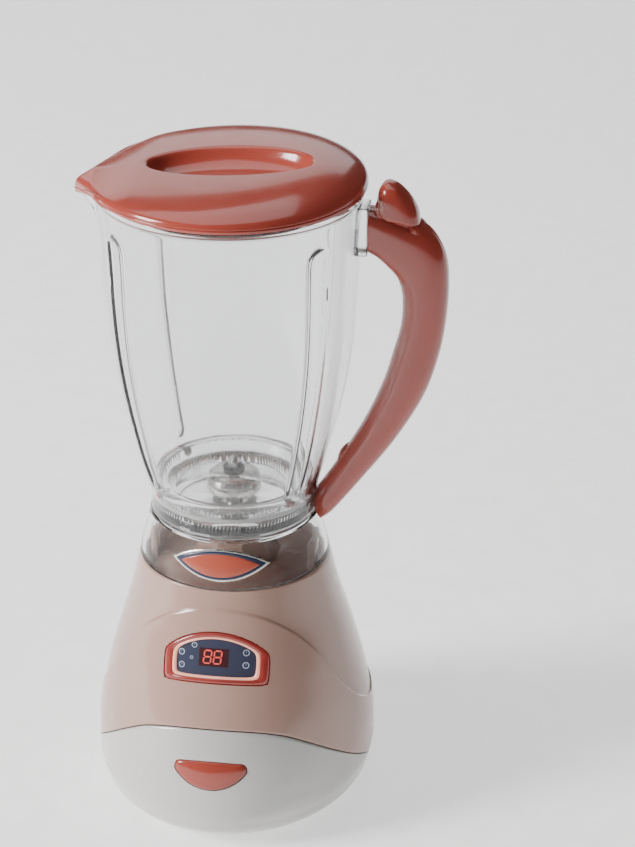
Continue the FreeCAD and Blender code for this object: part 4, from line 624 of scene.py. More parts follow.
# ---------------------------------------------------------------- lid
@dataclass
class Lid:
    """Domed lid with its beak, its oval grip bowl and its plug ring."""

    radius: float = 55.2
    edge_z: float = 274.7
    side_z: float = 276.8
    crest_z: float = 284.2
    lean: float = 0.06
    beak_tip: float = 63.4
    beak_tip_radius: float = 3.2
    grip_long: float = 34.0
    grip_short: float = 16.2
    grip_floor_z: float = 276.3
    grip_floor_in: float = 14.5
    lip_roll: float = 1.2
    droop_top: float = 6.7
    droop_top_from: float = 34.0
    droop_low: float = 8.6
    droop_low_from: float = 48.0
    droop_end: float = 64.8
    dome_start: float = 25.0
    dome_rows: int = 46
    fade_start: float = 50.0
    fade_end: float = 55.0
    wall: float = 1.9

    def dome_height(self, radius: Grid) -> Grid:
        """Height of the dome over a distance from the axis: its rise times (1 - (r / R)^3.6)^0.52."""
        share = np.clip(np.asarray(radius, float) / self.radius, 0, 1)
        return self.side_z + (self.crest_z - self.side_z) * (1 - share ** 3.6) ** 0.52

    def plan_radius(self, angle: Grid) -> Grid:
        """Distance to the plan's edge at each angle: the round edge, the tangents to the tip, the tip.

        The tangent line leans by asin((R - r) / D), and a ray meets it where its distance along the
        line's normal equals R.
        """
        centre = self.beak_tip - self.beak_tip_radius
        lean = math.asin((self.radius - self.beak_tip_radius) / centre)
        off = np.abs(np.angle(np.exp(1j * (angle - math.pi))))
        tangent = self.radius / np.maximum(np.cos(off - (math.pi / 2 - lean)), 0.2)
        tangent = np.where(off < math.pi / 2 - lean, tangent, self.radius)
        chord = self.beak_tip_radius ** 2 - (centre * np.sin(off)) ** 2
        tip = centre * np.cos(off) + np.sqrt(np.maximum(chord, 0.0))
        near = centre * np.sin(off) < self.beak_tip_radius * math.cos(lean)
        return np.where(near & (off < 0.3), np.minimum(tip, tangent), tangent)

    def outline(self) -> Grid:
        """Profile from the dome's inner ring past the side's small groove to the lower edge."""
        top = np.linspace(self.dome_start, self.radius, self.dome_rows)
        side = rounded_path([(55.2, 276.8), (55.2, 276.55), (54.7, 276.3), (55.15, 276.0), (55.15, 274.9),
                             (54.9, 274.7), (53.4, 274.7)], 26, 1)
        return np.concatenate([np.stack([top, self.dome_height(top)], axis=1), side[1:]])

    def oval(self, angle: Grid, shrink: float) -> Grid:
        """Distance to the grip's oval at each angle, with both half axes shrunk."""
        long, short = self.grip_long - shrink, self.grip_short - shrink
        return long * short / np.sqrt((short * np.cos(angle)) ** 2 + (long * np.sin(angle)) ** 2)

    def leaning(self, radius: Grid, angle: Grid) -> Grid:
        """Rise of the leaning crown over a point: in proportion to x, and fading out at the edge."""
        return self.lean * np.maximum(1 - (radius / self.radius) ** 6, 0.0) * radius * np.cos(angle)

    def bowl(self, angle: Grid) -> tuple:
        """Distances and heights of the grip's floor and of its wall up to the rolled lip."""
        lip_z = self.dome_height(self.oval(angle, 0.0))
        inset = np.array([12.5, 10.5, 8.5, 7.0, 5.6, 4.5, 3.6, 3.0, 2.5, 2.1, 1.7, 1.3, 0.9, 0.5, 0.0, -0.5])
        share = smooth_curve((-0.5, 0.0, 0.6, 1.2, 1.8, 2.5, 3.6, 5.6, 8.5, self.grip_floor_in),
                             (1.0, 0.985, 0.93, 0.83, 0.70, 0.56, 0.39, 0.20, 0.08, 0.0), inset)
        radius = [self.oval(angle, self.grip_floor_in) * t for t in np.linspace(0.0, 1.0, 5)]
        height = [self.grip_floor_z + 0 * angle for _ in radius]
        radius += [self.oval(angle, shrink) for shrink in inset]
        height += [self.grip_floor_z + (lip_z - self.grip_floor_z) * up for up in share]
        return np.concatenate(radius, axis=1), np.concatenate(height, axis=1)

    def dome(self, angle: Grid) -> tuple:
        """Distances and heights of the dome and of the side.

        The plan is drawn out to the beak, and towards it the dome's skin and the side's lower edge
        droop with the 1.6th and the 1.3rd power of the distance past their starts.
        """
        profile = self.outline()
        r, z = profile[None, :, 0], profile[None, :, 1]
        start = self.oval(angle, -self.lip_roll)
        spread = start + (r - self.dome_start) * (self.radius - start) / (self.radius - self.dome_start)
        spread = np.where(r > self.radius - 1e-6, r, np.minimum(spread, np.maximum(self.radius, r)))
        down = ease(r, self.fade_start, self.fade_end)
        side = np.arange(r.shape[1])[None, :] >= self.dome_rows - 1
        height = np.where(side, z, (1 - down) * self.dome_height(spread) + down * z)
        spread = np.where(side, r + 0 * angle, spread)
        spread = spread + (self.plan_radius(angle) - self.radius) * ease(spread, 22.0, self.radius) ** 1.2
        height = height + self.leaning(spread, angle)
        x = spread * np.cos(angle)
        top_share = (-x - self.droop_top_from) / (self.droop_end - self.droop_top_from)
        low_share = (-x - self.droop_low_from) / (self.droop_end - self.droop_low_from)
        top = self.droop_top * np.clip(top_share, 0, 1) ** 1.6
        low = self.droop_low * np.clip(low_share, 0, 1) ** 1.3
        fall = np.clip((self.side_z - height) / (self.side_z - self.edge_z), 0, 1)
        return spread, height - (1 - fall) * top - fall * low

    def shell(self) -> bpy.types.Object:
        """The lid's outer skin as one grid of angle by distance from the middle, given its wall.

        Rows run from the bowl's middle, up its wall, over the rolled lip, along the dome and down the
        side.
        """
        angle = circle(320)[:, None]
        bowl_r, bowl_z = self.bowl(angle)
        dome_r, dome_z = self.dome(angle)
        r = np.concatenate([bowl_r, dome_r], axis=1)
        z = np.concatenate([bowl_z + self.leaning(bowl_r, angle), dome_z], axis=1)
        piece = surface("lid_shell_skin", polar(r, angle, z), wrap_u=True, sharp=60.0)
        thick = piece.modifiers.new("wall", "SOLIDIFY")
        thick.thickness, thick.offset, thick.use_even_offset = self.wall * MM, -1.0, False
        return piece

    def build(self) -> None:
        """Make and dress the lid, its plug ring and its seal."""
        dress(self.shell(), "lid_shell", Finish.CORAL)
        ring = rounded_path([(48.2, 276.6), (48.2, 271.4), (50.0, 271.4), (50.0, 271.7), (49.5, 271.9),
                             (49.5, 274.3), (50.0, 274.5), (50.0, 276.6)], 60, 1)
        dress(turned("lid_plug_ring", ring, 256, closed=False), "lid_shell", Finish.CORAL, extra=True)
        lips = rounded_path([(49.6, 272.0), (50.0, 271.9), (50.8, 272.2), (50.3, 272.6), (50.3, 272.9),
                             (50.8, 273.1), (50.3, 273.5), (50.3, 273.7), (50.75, 274.0), (50.0, 274.2),
                             (49.6, 274.1)], 60, 1)
        dress(turned("lid_seal_lips", lips, 256), "lid_seal", Finish.SILICONE)


# ---------------------------------------------------------------- jar
@dataclass
class Jar:
    """Clear jar with four tapering flutes and a pouring spout, its collar and its badge."""

    foot_z: float = 131.4
    rim_z: float = 274.5
    fine_z: tuple = (148.0, 258.0)
    wall: float = 2.2
    neck_bore: float = 32.0
    flute_angle: float = 52.0
    flute_foot_z: float = 152.0
    flute_top_z: float = 256.0
    flute_foot_radius: float = 3.6
    flute_top_radius: float = 5.2
    flute_stand: float = 0.42
    spout_foot_z: float = 234.0
    badge_z: float = 121.0
    spout_centre: tuple = (39.0, 13.0)
    spout_radius: tuple = (7.0, 2.0)
    dip_z: float = 262.0
    lip_dip: float = 5.4
    lip_start: float = 53.0
    lip_span: float = 8.0
    bead: float = 0.75
    edge_blend: float = 0.25
    spout_blend: tuple = (1.2, 1.0)
    brackets: tuple = (("jar_bracket", (50.6, -7.0, 248.4), (56.2, 7.0, 268.6)),
                       ("jar_tongue", (55.0, -4.0, 251.2), (61.5, 4.0, 257.4)),
                       ("jar_lug", (34.0, -3.0, 136.0), (40.0, 3.0, 141.0)))

    def wall_radius(self, z: Grid) -> Grid:
        """Outer radius of the plain wall at a height."""
        heights = (131.4, 134.0, 140.5, 147.6, 157.3, 173.7, 193.0, 212.3, 231.6, 251.0, 267.3, 274.5)
        radii = (34.7, 34.6, 35.0, 36.8, 39.8, 43.8, 47.6, 50.2, 51.6, 52.2, 53.1, 53.4)
        return smooth_curve(heights, radii, z)

    def flute(self, angle: Grid, z: Grid, wall: Grid, extra: float) -> Grid:
        """Distance from the axis of the groove's floor, or far away outside the grooves.

        Each groove is a round bar that stands a little outside the wall, so its floor is the bar's
        centre distance less sqrt(rho^2 - s^2 - e^2), with s the distance round the wall and e the
        distance past the bar's ends.
        """
        share = np.clip((z - self.flute_foot_z) / (self.flute_top_z - self.flute_foot_z), 0, 1)
        rho = self.flute_foot_radius + (self.flute_top_radius - self.flute_foot_radius) * share
        centre = wall + self.flute_stand * rho
        beyond = np.maximum(np.maximum(z - self.flute_top_z, self.flute_foot_z - z), 0.0)
        floor = np.full(np.broadcast(angle, z).shape, FAR_MM)
        for side in (-1, 1):
            for turn in (self.flute_angle, 180 - self.flute_angle):
                at = math.radians(-90 + side * turn)
                across = np.angle(np.exp(1j * (angle - at))) * wall
                depth = (rho + extra) ** 2 - across ** 2 - beyond ** 2
                groove = centre - np.sqrt(np.maximum(depth, 0))
                floor = np.minimum(floor, np.where(depth > 0, groove, FAR_MM))
        return floor

    def spout(self, angle: Grid, z: Grid, inset: float) -> Grid:
        """Distance from the axis to the spout's leaning cone, or zero beside it.

        A level cut of the cone is a circle of radius q at distance c, so a ray meets it at
        c cos d + sqrt(q^2 - (c sin d)^2).
        """
        up = np.clip((z - self.spout_foot_z) / (self.rim_z - self.spout_foot_z), 0, 1.1)
        centre = self.spout_centre[0] + self.spout_centre[1] * up
        radius = self.spout_radius[0] + self.spout_radius[1] * up - inset
        off = np.angle(np.exp(1j * (angle - math.pi)))
        inside = radius ** 2 - (centre * np.sin(off)) ** 2
        reach = centre * np.cos(off) + np.sqrt(np.maximum(inside, 0.0))
        start = self.wall_radius(z) * ease(z, self.spout_foot_z - 6, self.spout_foot_z)
        limit = start + 2.0 * (up * 24) ** 1.2
        return np.where((inside > 0) & (np.cos(off) > 0), np.minimum(reach, limit), 0.0)

    def dipped(self, z: Grid, lip: Grid) -> Grid:
        """Heights with the stretch from the dip's start to the rim squeezed under the lip's height."""
        low = self.dip_z
        return np.where(z > low, low + (z - low) * (lip - low) / (self.rim_z - low), z + 0 * lip)

    def walls(self) -> bpy.types.Object:
        """The jar as one closed skin: foot, outer wall, rim, inner wall, step and bore."""
        angle = circle(416)[:, None]
        z_out = np.concatenate([np.linspace(self.foot_z, self.fine_z[0], 12, endpoint=False),
                                np.linspace(*self.fine_z, 66, endpoint=False),
                                np.linspace(self.fine_z[1], self.rim_z, 20)])[None, :]
        outer = self.wall_radius(z_out)
        bead = self.bead * ease(z_out, 271.6, 272.4) * (1 - ease(z_out, 274.1, 274.5) * 0.5)
        plain = outer + 0 * angle
        outer_r = soft_min(plain, self.flute(angle, z_out, outer, 0.0), self.edge_blend)
        outer_r = soft_max(outer_r + bead, self.spout(angle, z_out, 0.0), self.spout_blend[0])
        z_in = z_out[:, ::-1][:, :-9]
        inner = self.wall_radius(z_in) - self.wall
        flute = self.flute(angle, z_in, self.wall_radius(z_in), self.wall)
        inner_r = soft_min(inner + 0 * angle, flute, self.edge_blend)
        inner_r = soft_max(inner_r, self.spout(angle, z_in, self.wall), self.spout_blend[1])
        past = (outer_r[:, -1:] - self.lip_start) / self.lip_span
        lip = self.rim_z - self.lip_dip * np.clip(past, 0, 1)
        end_r, end_z = outer_r[:, -1:], self.dipped(z_out, lip)[:, -1:]
        crown_r = np.concatenate([end_r - 0.5, 0.5 * (end_r + inner_r[:, :1]), inner_r[:, :1] + 0.4], axis=1)
        crown_z = np.concatenate([end_z + 0.0, end_z + 0.15, end_z + 0.05], axis=1) - 0.15
        neck, foot = self.neck_bore, self.foot_z
        bore = np.array([(neck + 1.4, 146.6), (neck + 0.4, 146.3), (neck, 145.9), (neck, 139.0),
                         (neck, 131.9), (neck + 0.3, 131.5), (neck + 1.0, foot), (neck + 2.2, foot)])
        r = np.concatenate([outer_r, crown_r, inner_r, bore[None, :, 0] + 0 * angle], axis=1)
        z = np.concatenate([self.dipped(z_out, lip), crown_z, self.dipped(z_in, lip),
                            bore[None, :, 1] + 0 * angle], axis=1)
        return surface("jar_walls", polar(r, angle, z), wrap_u=True, wrap_v=True, sharp=50.0)

    def collar_radius(self, z: Grid) -> Grid:
        """Outer radius of the flared skirt at a height."""
        heights, radii = (110.5, 112.5, 118.7, 125.0, 128.3, 131.2), (40.1, 39.7, 38.0, 36.3, 35.6, 34.9)
        return smooth_curve(heights, radii, z)

    def collar(self) -> bpy.types.Object:
        """Skirt under the jar with a rolled foot and an inward flange, turned as one closed profile."""
        z = np.linspace(111.0, 130.9, 30)
        outside = np.stack([self.collar_radius(z), z], axis=1)
        inside = np.stack([self.collar_radius(z[::-1]) - self.wall, z[::-1]], axis=1)
        inside = inside[inside[:, 1] < 128.6]
        flange = np.array([(24.0, 131.0), (24.2, 131.2), (34.4, 131.2)])[::-1]
        foot = np.array([(38.1, 110.7), (38.4, 110.5), (39.7, 110.5), (40.05, 110.7)])
        under = np.array([(33.4, 129.0), (24.2, 129.0), (24.0, 129.2)])[::-1]
        profile = np.concatenate([outside, flange, under, inside, foot])
        return turned("jar_collar_skirt", profile, 256)

    def plate(self, name: str, half: float, rise: float, lift: float, crown: float) -> bpy.types.Object:
        """A pointed oval plate wrapped on the collar.

        Across a and up b run from -1 to 1; the outline's half height is that of two crossing arcs,
        and the plate stands off the collar by lift, falling to nothing at its edge, plus a low crown.

        Args:
            name: Name of the piece.
            half: Half its width.
            rise: Half its height.
            lift: How far it stands off the collar.
            crown: Extra height at its middle.

        Returns:
            The new piece.
        """
        a = np.sin(np.linspace(-math.pi / 2, math.pi / 2, 97))[:, None]
        b = np.sin(np.linspace(-math.pi / 2, math.pi / 2, 33))[None, :]
        bow = (half ** 2 + rise ** 2) / (2 * rise)
        tall = np.sqrt(bow ** 2 - (half * a) ** 2) - (bow - rise)
        x, z = half * a + 0 * b, self.badge_z + tall * b
        edge = np.clip(np.minimum((1 - np.abs(b)) * tall, (1 - np.abs(a)) * half) / 0.5, 0, 1)
        stand = lift * np.sqrt(1 - (1 - edge) ** 2) + crown * (1 - b ** 2) * (1 - a ** 2) - 0.02
        radius = self.collar_radius(z) + stand
        grid = np.stack([x, -np.sqrt(np.maximum(radius ** 2 - x ** 2, 1.0)), z], axis=-1)
        return surface(name, grid, facing=(0, -1, 0.3))

    def build(self) -> None:
        """Make and dress the jar, its collar, its badge and the brackets that hold the handle."""
        dress(self.walls(), "jar", Finish.CLEAR)
        for name, low, high in self.brackets:
            dress(rounded_block(name, low, high), "jar", Finish.CLEAR, extra=True)
        dress(self.collar(), "jar_collar", Finish.COLLAR)
        dress(self.plate("badge_bed", 20.4, 6.6, 0.3, 0.0), "badge", Finish.SILVER, extra=True)
        dress(self.plate("badge_rim", 19.0, 5.9, 0.7, 0.0), "badge", Finish.NAVY)
        dress(self.plate("badge_face", 16.6, 4.9, 0.9, 0.15), "badge", Finish.BADGE, extra=True)


# ---------------------------------------------------------------- handle
@dataclass
class Handle:
    """Moulded grip in two halves along a curved line of oval sections, with its thumb lever.

    Each station holds the inner edge and the outer edge of a section as (x, z), and its half depth.
    """

    stations: tuple = (
        ((56.4, 249.4), (56.4, 267.4), 7.4), ((60.2, 247.3), (62.6, 266.0), 8.2),
        ((64.2, 243.6), (72.0, 263.2), 8.8), ((67.4, 239.4), (80.8, 259.4), 9.0),
        ((69.0, 234.6), (86.9, 249.4), 9.0), ((69.8, 229.0), (88.5, 236.5), 9.0),
        ((69.3, 218.5), (87.6, 219.5), 9.0), ((66.3, 206.0), (84.8, 203.5), 9.0),
        ((61.9, 191.1), (79.0, 186.0), 8.8), ((53.9, 172.6), (67.5, 165.6), 8.2),
        ((43.5, 154.5), (53.9, 146.7), 7.4), ((38.6, 146.6), (47.3, 137.9), 7.1),
        ((34.9, 141.0), (41.5, 130.6), 6.4), ((33.0, 137.0), (37.2, 126.9), 4.6))
    thumb_outline: tuple = (
        (59.7, 266.0), (59.3, 269.0), (59.4, 272.5), (60.4, 276.6), (62.8, 278.9), (66.3, 278.3),
        (70.6, 275.0), (74.2, 270.2), (76.2, 265.2), (76.3, 261.8), (72.4, 261.9), (66.0, 263.0),
        (61.6, 264.0))
    thumb_half: float = 7.9
    thumb_middle: tuple = (67.4, 266.4)
    thumb_round: float = 2.8
    core_middle: tuple = (67.4, 0.0, 267.0)
    core_share: tuple = (0.84, 0.80, 0.84)
    core_low_z: float = 262.0
    parting: float = 0.05
    rows: int = 150
    oval_power: float = 0.93
    neck_power: float = 0.60
    neck_stations: tuple = (1.5, 5.0)
    roll: float = 0.012
    roll_depth: float = 0.5
    nub_centre: tuple = (48.3, 0.0, 157.0)
    nub_reach: tuple = (4.0, 4.6, 6.4)
    nub_lean_deg: float = 30.0

    def line(self) -> tuple:
        """Station number, inner edge, outer edge and half depth along the grip, at even steps."""
        knots = np.arange(len(self.stations))
        at = np.linspace(0, len(self.stations) - 1, self.rows)
        inner, outer = (np.stack([smooth_curve(knots, [s[edge][k] for s in self.stations], at)
                                  for k in (0, 1)], axis=1) for edge in (0, 1))
        depth = smooth_curve(knots, [s[2] for s in self.stations], at)
        return at, inner, outer, depth

    def half(self, name: str, side: int) -> bpy.types.Object:
        """One half of the grip: half ovals swept along the line, rolled in at the parting edge.

        The ovals are superellipses, squarer over the first stations, where the neck meets the jar.

        Args:
            name: Name of the piece.
            side: -1 for the front half, 1 for the back half.

        Returns:
            The new piece.
        """
        at, inner, outer, depth = self.line()
        middle, reach = (inner + outer) / 2, (outer - inner) / 2
        turn = np.linspace(0.0, math.pi, 61)[None, :]
        neck = (1 - ease(at, *self.neck_stations))[:, None]
        power = self.oval_power - (self.oval_power - self.neck_power) * neck
        c = np.sign(np.cos(turn)) * np.abs(np.cos(turn)) ** power
        q = np.sin(turn) ** power
        roll = 1 - self.roll * np.exp(-(q * depth[:, None] / self.roll_depth) ** 2)
        x = middle[:, :1] + reach[:, :1] * c * roll
        z = middle[:, 1:] + reach[:, 1:] * c * roll
        y = side * (self.parting + depth[:, None] * q)
        grid = np.stack([x, y, z], axis=-1)
        first, last = (np.broadcast_to([place[0], side * self.parting, place[1]], grid[:1].shape)
                       for place in (middle[0], middle[-1]))
        return surface(name, np.concatenate([first, grid, last]), sharp=55.0)

    def thumb(self) -> bpy.types.Object:
        """The thumb lever's pad: its side outline shrunk towards both flanks.

        At a share v of the half width the outline is scaled about its middle by (1 - |v|^2.8)^(1/2.8).
        """
        points = np.array(self.thumb_outline + self.thumb_outline[:1])
        run = np.concatenate([[0.0], np.cumsum(np.linalg.norm(np.diff(points, axis=0), axis=1))])
        wrap = np.concatenate([run[-4:-1] - run[-1], run, run[1:4] + run[-1]])
        looped = np.concatenate([points[-4:-1], points, points[1:4]])
        at = np.linspace(0, run[-1], 120, endpoint=False)
        line = np.stack([smooth_curve(wrap, looped[:, k], at) for k in (0, 1)], axis=1)
        centre = np.array(self.thumb_middle)
        v = np.sin(np.linspace(-math.pi / 2, math.pi / 2, 41))[None, :, None]
        scale = (1 - np.abs(v) ** self.thumb_round) ** (1 / self.thumb_round)
        flat = centre + (line[:, None, :] - centre) * scale
        y = self.thumb_half * v[..., 0] + 0 * flat[..., 0]
        grid = np.stack([flat[..., 0], y, flat[..., 1]], axis=-1)
        return surface("thumb_lever_pad", grid, wrap_u=True, sharp=60.0)

    def nub(self) -> bpy.types.Object:
        """Rounded nub low on the grip's inner side: an ellipsoid leaning along the grip."""
        u, v = circle(48)[:, None], np.linspace(-math.pi / 2, math.pi / 2, 25)[None, :]
        a, b, c = self.nub_reach
        flat = np.stack([a * np.cos(v) * np.cos(u), b * np.cos(v) * np.sin(u), c * np.sin(v) + 0 * u],
                        axis=-1)
        lean = math.radians(self.nub_lean_deg)
        x = flat[..., 0] * math.cos(lean) + flat[..., 2] * math.sin(lean)
        z = -flat[..., 0] * math.sin(lean) + flat[..., 2] * math.cos(lean)
        return surface("handle_nub", np.stack([x, flat[..., 1], z], axis=-1) + self.nub_centre, wrap_u=True)

    def lever_core(self) -> bpy.types.Object:
        """Copy of the lever's solid, drawn in under its pad above the grip and left as it is below."""
        piece = refined("thumb_lever")
        at = read_points(piece)
        over = at[:, 2] > self.core_low_z
        at[over] = self.core_middle + (at[over] - self.core_middle) * self.core_share
        write_points(piece, at)
        return piece

    def build(self) -> None:
        """Make and dress both halves, the nub and the thumb lever."""
        dress(self.half("handle_front_skin", -1), "handle_front", Finish.CORAL)
        dress(self.half("handle_back_skin", 1), "handle_back", Finish.CORAL)
        dress(self.nub(), "handle_front", Finish.CORAL, extra=True)
        dress(self.thumb(), "thumb_lever", Finish.CORAL, extra=True)
        dress(self.lever_core(), "thumb_lever", Finish.CORAL)


# ---------------------------------------------------------------- base
@dataclass
class Base:
    """Oval two-colour base: skins over both shells, and the start button.

    The display's outline and the button's outline are given by fields that are negative inside them.
    """

    heights: tuple = (1.5, 6.0, 15.0, 28.0, 50.0, 70.0, 92.0, 110.3)
    widths: tuple = (45.4, 52.8, 57.6, 58.4, 56.0, 51.0, 44.4, 40.0)
    widest_z: float = 28.0
    ratio: float = 1.16
    columns: int = 480
    proud: float = 0.8
    under: float = 0.5
    parting: float = 0.15
    edge_round: float = 0.9
    edge_drop: float = 0.55
    edge_depth: float = 1.6
    display_z: float = 83.6
    display_tilt: float = 22.0
    display_half: float = 22.2
    display_foot: float = -10.3
    display_side: float = 3.0
    display_crown: float = 11.0
    display_corner: float = 1.8
    display_gutter: float = 0.4
    button_half: float = 15.4
    button_foot_z: float = 31.2
    button_side_z: float = 38.6
    button_top_z: float = 43.7
    button_arch: float = 1.3
    button_corner: float = 2.5
    button_middle_z: float = 38.4
    button_gutter: float = 0.3
    opening_side_z: float = 40.5
    opening_top_z: float = 43.0
    opening_lift: float = 0.9
    outer_wall: float = 1.2
    shoulder: tuple = (90.0, 94.0, 98.0, 101.0, 104.0, 107.0, 110.3)
    fullness: tuple = (0.0, 0.7, 1.6, 2.2, 2.4, 1.7, 0.0)

    def depths(self) -> tuple:
        """Half depth of each section: the ratio fades to one at the shoulder."""
        span = self.heights[-1] - self.widest_z
        fade = [min(1.0, max(0.0, (self.heights[-1] - z) / span)) for z in self.heights]
        return tuple(w * (1 + (self.ratio - 1) * f) for w, f in zip(self.widths, fade))

    def half_sizes(self, z: Grid, out: float = 0.0) -> tuple:
        """Half width and half depth of the oval at a height, moved out by a distance."""
        return (smooth_curve(self.heights, self.widths, z) + out,
                smooth_curve(self.heights, self.depths(), z) + out)

    def skin(self, angle: Grid, z: Grid, out: Grid) -> Grid:
        """Point of the oval skin at an angle and height, moved out by a distance."""
        w, d = self.half_sizes(z)
        level = z + 0 * angle + 0 * out
        return np.stack([(w + out) * np.cos(angle), (d + out) * np.sin(angle), level], axis=-1)

    @staticmethod
    def wave(y: Grid, crest: tuple, radius: float, trough: tuple) -> Grid:
        """Height of one of the two curved lines at a depth: a crest arc, then a trough arc, tangent.

        The two radii add up to (run^2 + fall^2) / (2 fall).
        """
        run, fall = trough[0] - crest[0], crest[1] - trough[1]
        both = (run ** 2 + fall ** 2) / (2 * fall)
        low = both - radius
        join = crest[0] + radius * run / both
        on_crest = crest[1] - radius + np.sqrt(np.maximum(radius ** 2 - (y - crest[0]) ** 2, 0))
        past = np.minimum(y, trough[0]) - trough[0]
        on_trough = trough[1] + low - np.sqrt(np.maximum(low ** 2 - past ** 2, 0))
        return np.where(y < crest[0], crest[1], np.where(y < join, on_crest, on_trough))

    def seam(self, y: Grid) -> Grid:
        """Height of the line between the two shells."""
        return self.wave(y, (-75.8, 59.6), 33.7, (46.7, 6.5))

    def apron(self, y: Grid) -> Grid:
        """Height of the raised front's upper edge."""
        return self.wave(y, (-113.4, 139.1), 88.4, (11.4, 41.0))

    def line_height(self, angle: Grid, line: Callable[[Grid], Grid]) -> Grid:
        """Height at which a line crosses the skin, by repeated substitution."""
        z = 40.0 + 0 * angle
        for _ in range(40):
            depth = self.half_sizes(z, self.proud)[1]
            z = 0.5 * z + 0.5 * line(depth * np.sin(angle))
        return z

    def tucked(self, node: str) -> bpy.types.Object:
        """Smooth copy of a shell's or button's solid whose outer wall lies a little under the new skin.

        A point's distance outside the section's oval is r (1 - 1 / s), with s its share of the oval's
        radius.  The fullness that the solid has at the shoulder is taken off, and what is then the outer
        wall goes to a fixed depth under the skin.  The top edge of the button's opening is
        raised into the arch of the button's cap.
        """
        piece = refined(node)
        at = read_points(piece)
        z = at[:, 2]
        w, d = self.half_sizes(z)
        reach = np.maximum(np.hypot(at[:, 0], at[:, 1]), 1e-6)
        out = reach * (1 - 1 / np.maximum(np.hypot(at[:, 0] / w, at[:, 1] / d), 1e-3))
        full = smooth_curve(self.shoulder, self.fullness, z)
        new = out - np.where((out > -5.0) & (z > self.shoulder[0]), full, 0.0)
        new = np.where(new > -self.outer_wall, -self.under, new)
        at[:, :2] *= ((reach + new - out) / reach)[:, None]
        if node == "base_lower":
            front = (at[:, 1] < -50.0) & (np.abs(at[:, 0]) < self.button_half)
            over = front & (z > self.opening_side_z) & (z < self.opening_top_z + 0.1)
            arch = np.maximum(self.opening_lift - self.button_arch * (at[:, 0] / self.button_half) ** 2, 0.0)
            share = (z - self.opening_side_z) / (self.opening_top_z - self.opening_side_z)
            at[:, 2] += np.where(over, arch * share, 0.0)
        write_points(piece, at)
        return piece

    def display_plane(self) -> tuple:
        """Sine and cosine of the display's tilt, and the base's half depth at the display's height."""
        tilt = math.radians(self.display_tilt)
        return math.sin(tilt), math.cos(tilt), float(self.half_sizes(np.array([self.display_z]))[1][0])

    def display_place(self, a: Grid, b: Grid, out: Grid) -> Grid:
        """Point over the raised front from its coordinates in the display's sloping plane.

        Args:
            a: Distance across, in millimetres.
            b: Distance up the slope.
            out: Distance out of the skin, along the plane's normal.

        Returns:
            Points (..., 3): the line through (a, b) along the normal met with the skin by Newton's steps.
        """
        sine, cosine, depth = self.display_plane()
        s = np.zeros(np.broadcast(a, b, out).shape)
        for _ in range(24):
            w, d = self.half_sizes(self.display_z + b * cosine + s * sine, self.proud)
            y = -depth + b * sine - s * cosine
            s = s + (y + d * np.sqrt(np.maximum(1 - (a / w) ** 2, 0))) / cosine
        s = s + out
        return np.stack([a + 0 * s, -depth + b * sine - s * cosine,
                         self.display_z + b * cosine + s * sine], axis=-1)

    def display_point(self, points: Grid) -> tuple:
        """Across and up coordinates of points in the display's sloping plane."""
        sine, cosine, depth = self.display_plane()
        y, z = points[..., 1] + depth, points[..., 2] - self.display_z
        return points[..., 0], y * sine + z * cosine

    def display_gap(self, a: Grid, b: Grid, side_in: float = 0.0, edge_in: float = 0.0) -> Grid:
        """Distance outside the display's outline, negative inside it.

        The outline has a level foot, upright sides and an arched crown, with soft corners.

        Args:
            a: Distance across, in millimetres.
            b: Distance up the slope.
            side_in: How far the sides are moved in.
            edge_in: How far the foot and the crown are moved in.

        Returns:
            The distance.
        """
        half, low, corner = self.display_half - side_in, self.display_foot + edge_in, self.display_corner
        rise = self.display_crown - edge_in - self.display_side
        bow = (half ** 2 + rise ** 2) / (2 * rise)
        roof = b - (self.display_side + np.sqrt(np.maximum(bow ** 2 - a ** 2, 0)) - (bow - rise))
        return soft_max(soft_max(np.abs(a) - half, low - b, corner), roof, corner)

    def rim_gap(self, a: Grid, b: Grid) -> Grid:
        """Distance outside the edge of the skin's opening, a little wider than the display's outline."""
        return self.display_gap(a, b) - self.display_gutter

    def rounded(self, inside: Grid) -> Grid:
        """How far the skin rolls in at a distance from a shell's edge: a quarter of an oval."""
        bevel = np.clip(inside / self.edge_round, 0, 1)
        return self.edge_drop * (1 - np.sqrt(1 - (1 - bevel) ** 2))

    def upper(self) -> bpy.types.Object:
        """Skin of the pink shell from the seam to the shoulder, with the step at the apron's edge."""
        angle = circle(self.columns)[:, None]
        low = self.line_height(angle, self.seam) + self.parting
        step = np.clip(self.line_height(angle, self.apron), low + 1.0, 109.0)
        top_z = self.heights[-1] + 0 * low
        stops = (low, low + self.edge_round, step - 0.55, step + 0.55, top_z)
        z = np.concatenate([a + (b - a) * np.linspace(0, 1, count, endpoint=b is top_z)[None, :]
                            for a, b, count in zip(stops[:-1], stops[1:], (5, 56, 12, 44))], axis=1)
        y_line = self.skin(angle, z, np.zeros_like(z))[..., 1]
        raised = self.proud * (1 - ease(z - self.apron(y_line), -0.45, 0.45))
        grid = self.skin(angle, z, raised - self.rounded(z - low))
        tuck = self.skin(angle, low, -self.edge_depth + 0 * low)
        top, flat = (self.skin(angle, top_z, -inset + 0 * low) + [0, 0, 0.05] for inset in (0.5, 2.0))
        grid = np.concatenate([tuck, grid[:, :-1], top, flat], axis=1)
        a, b = self.display_point(grid)
        rim = self.rim_gap(a, b)
        near = (np.abs(rim) < 0.8) & (grid[..., 1] < 0)
        ga, gb = slope_of(self.rim_gap, a, b)
        moved = self.display_place(a - rim * ga, b - rim * gb, 0 * a)
        grid = np.where(near[..., None], moved, grid)
        centre = ring_centres(grid)
        hidden = (self.rim_gap(*self.display_point(centre)) < -0.04) & (centre[..., 1] < 0)
        return surface("base_upper_skin", grid, wrap_u=True, keep=~hidden, sharp=50.0)

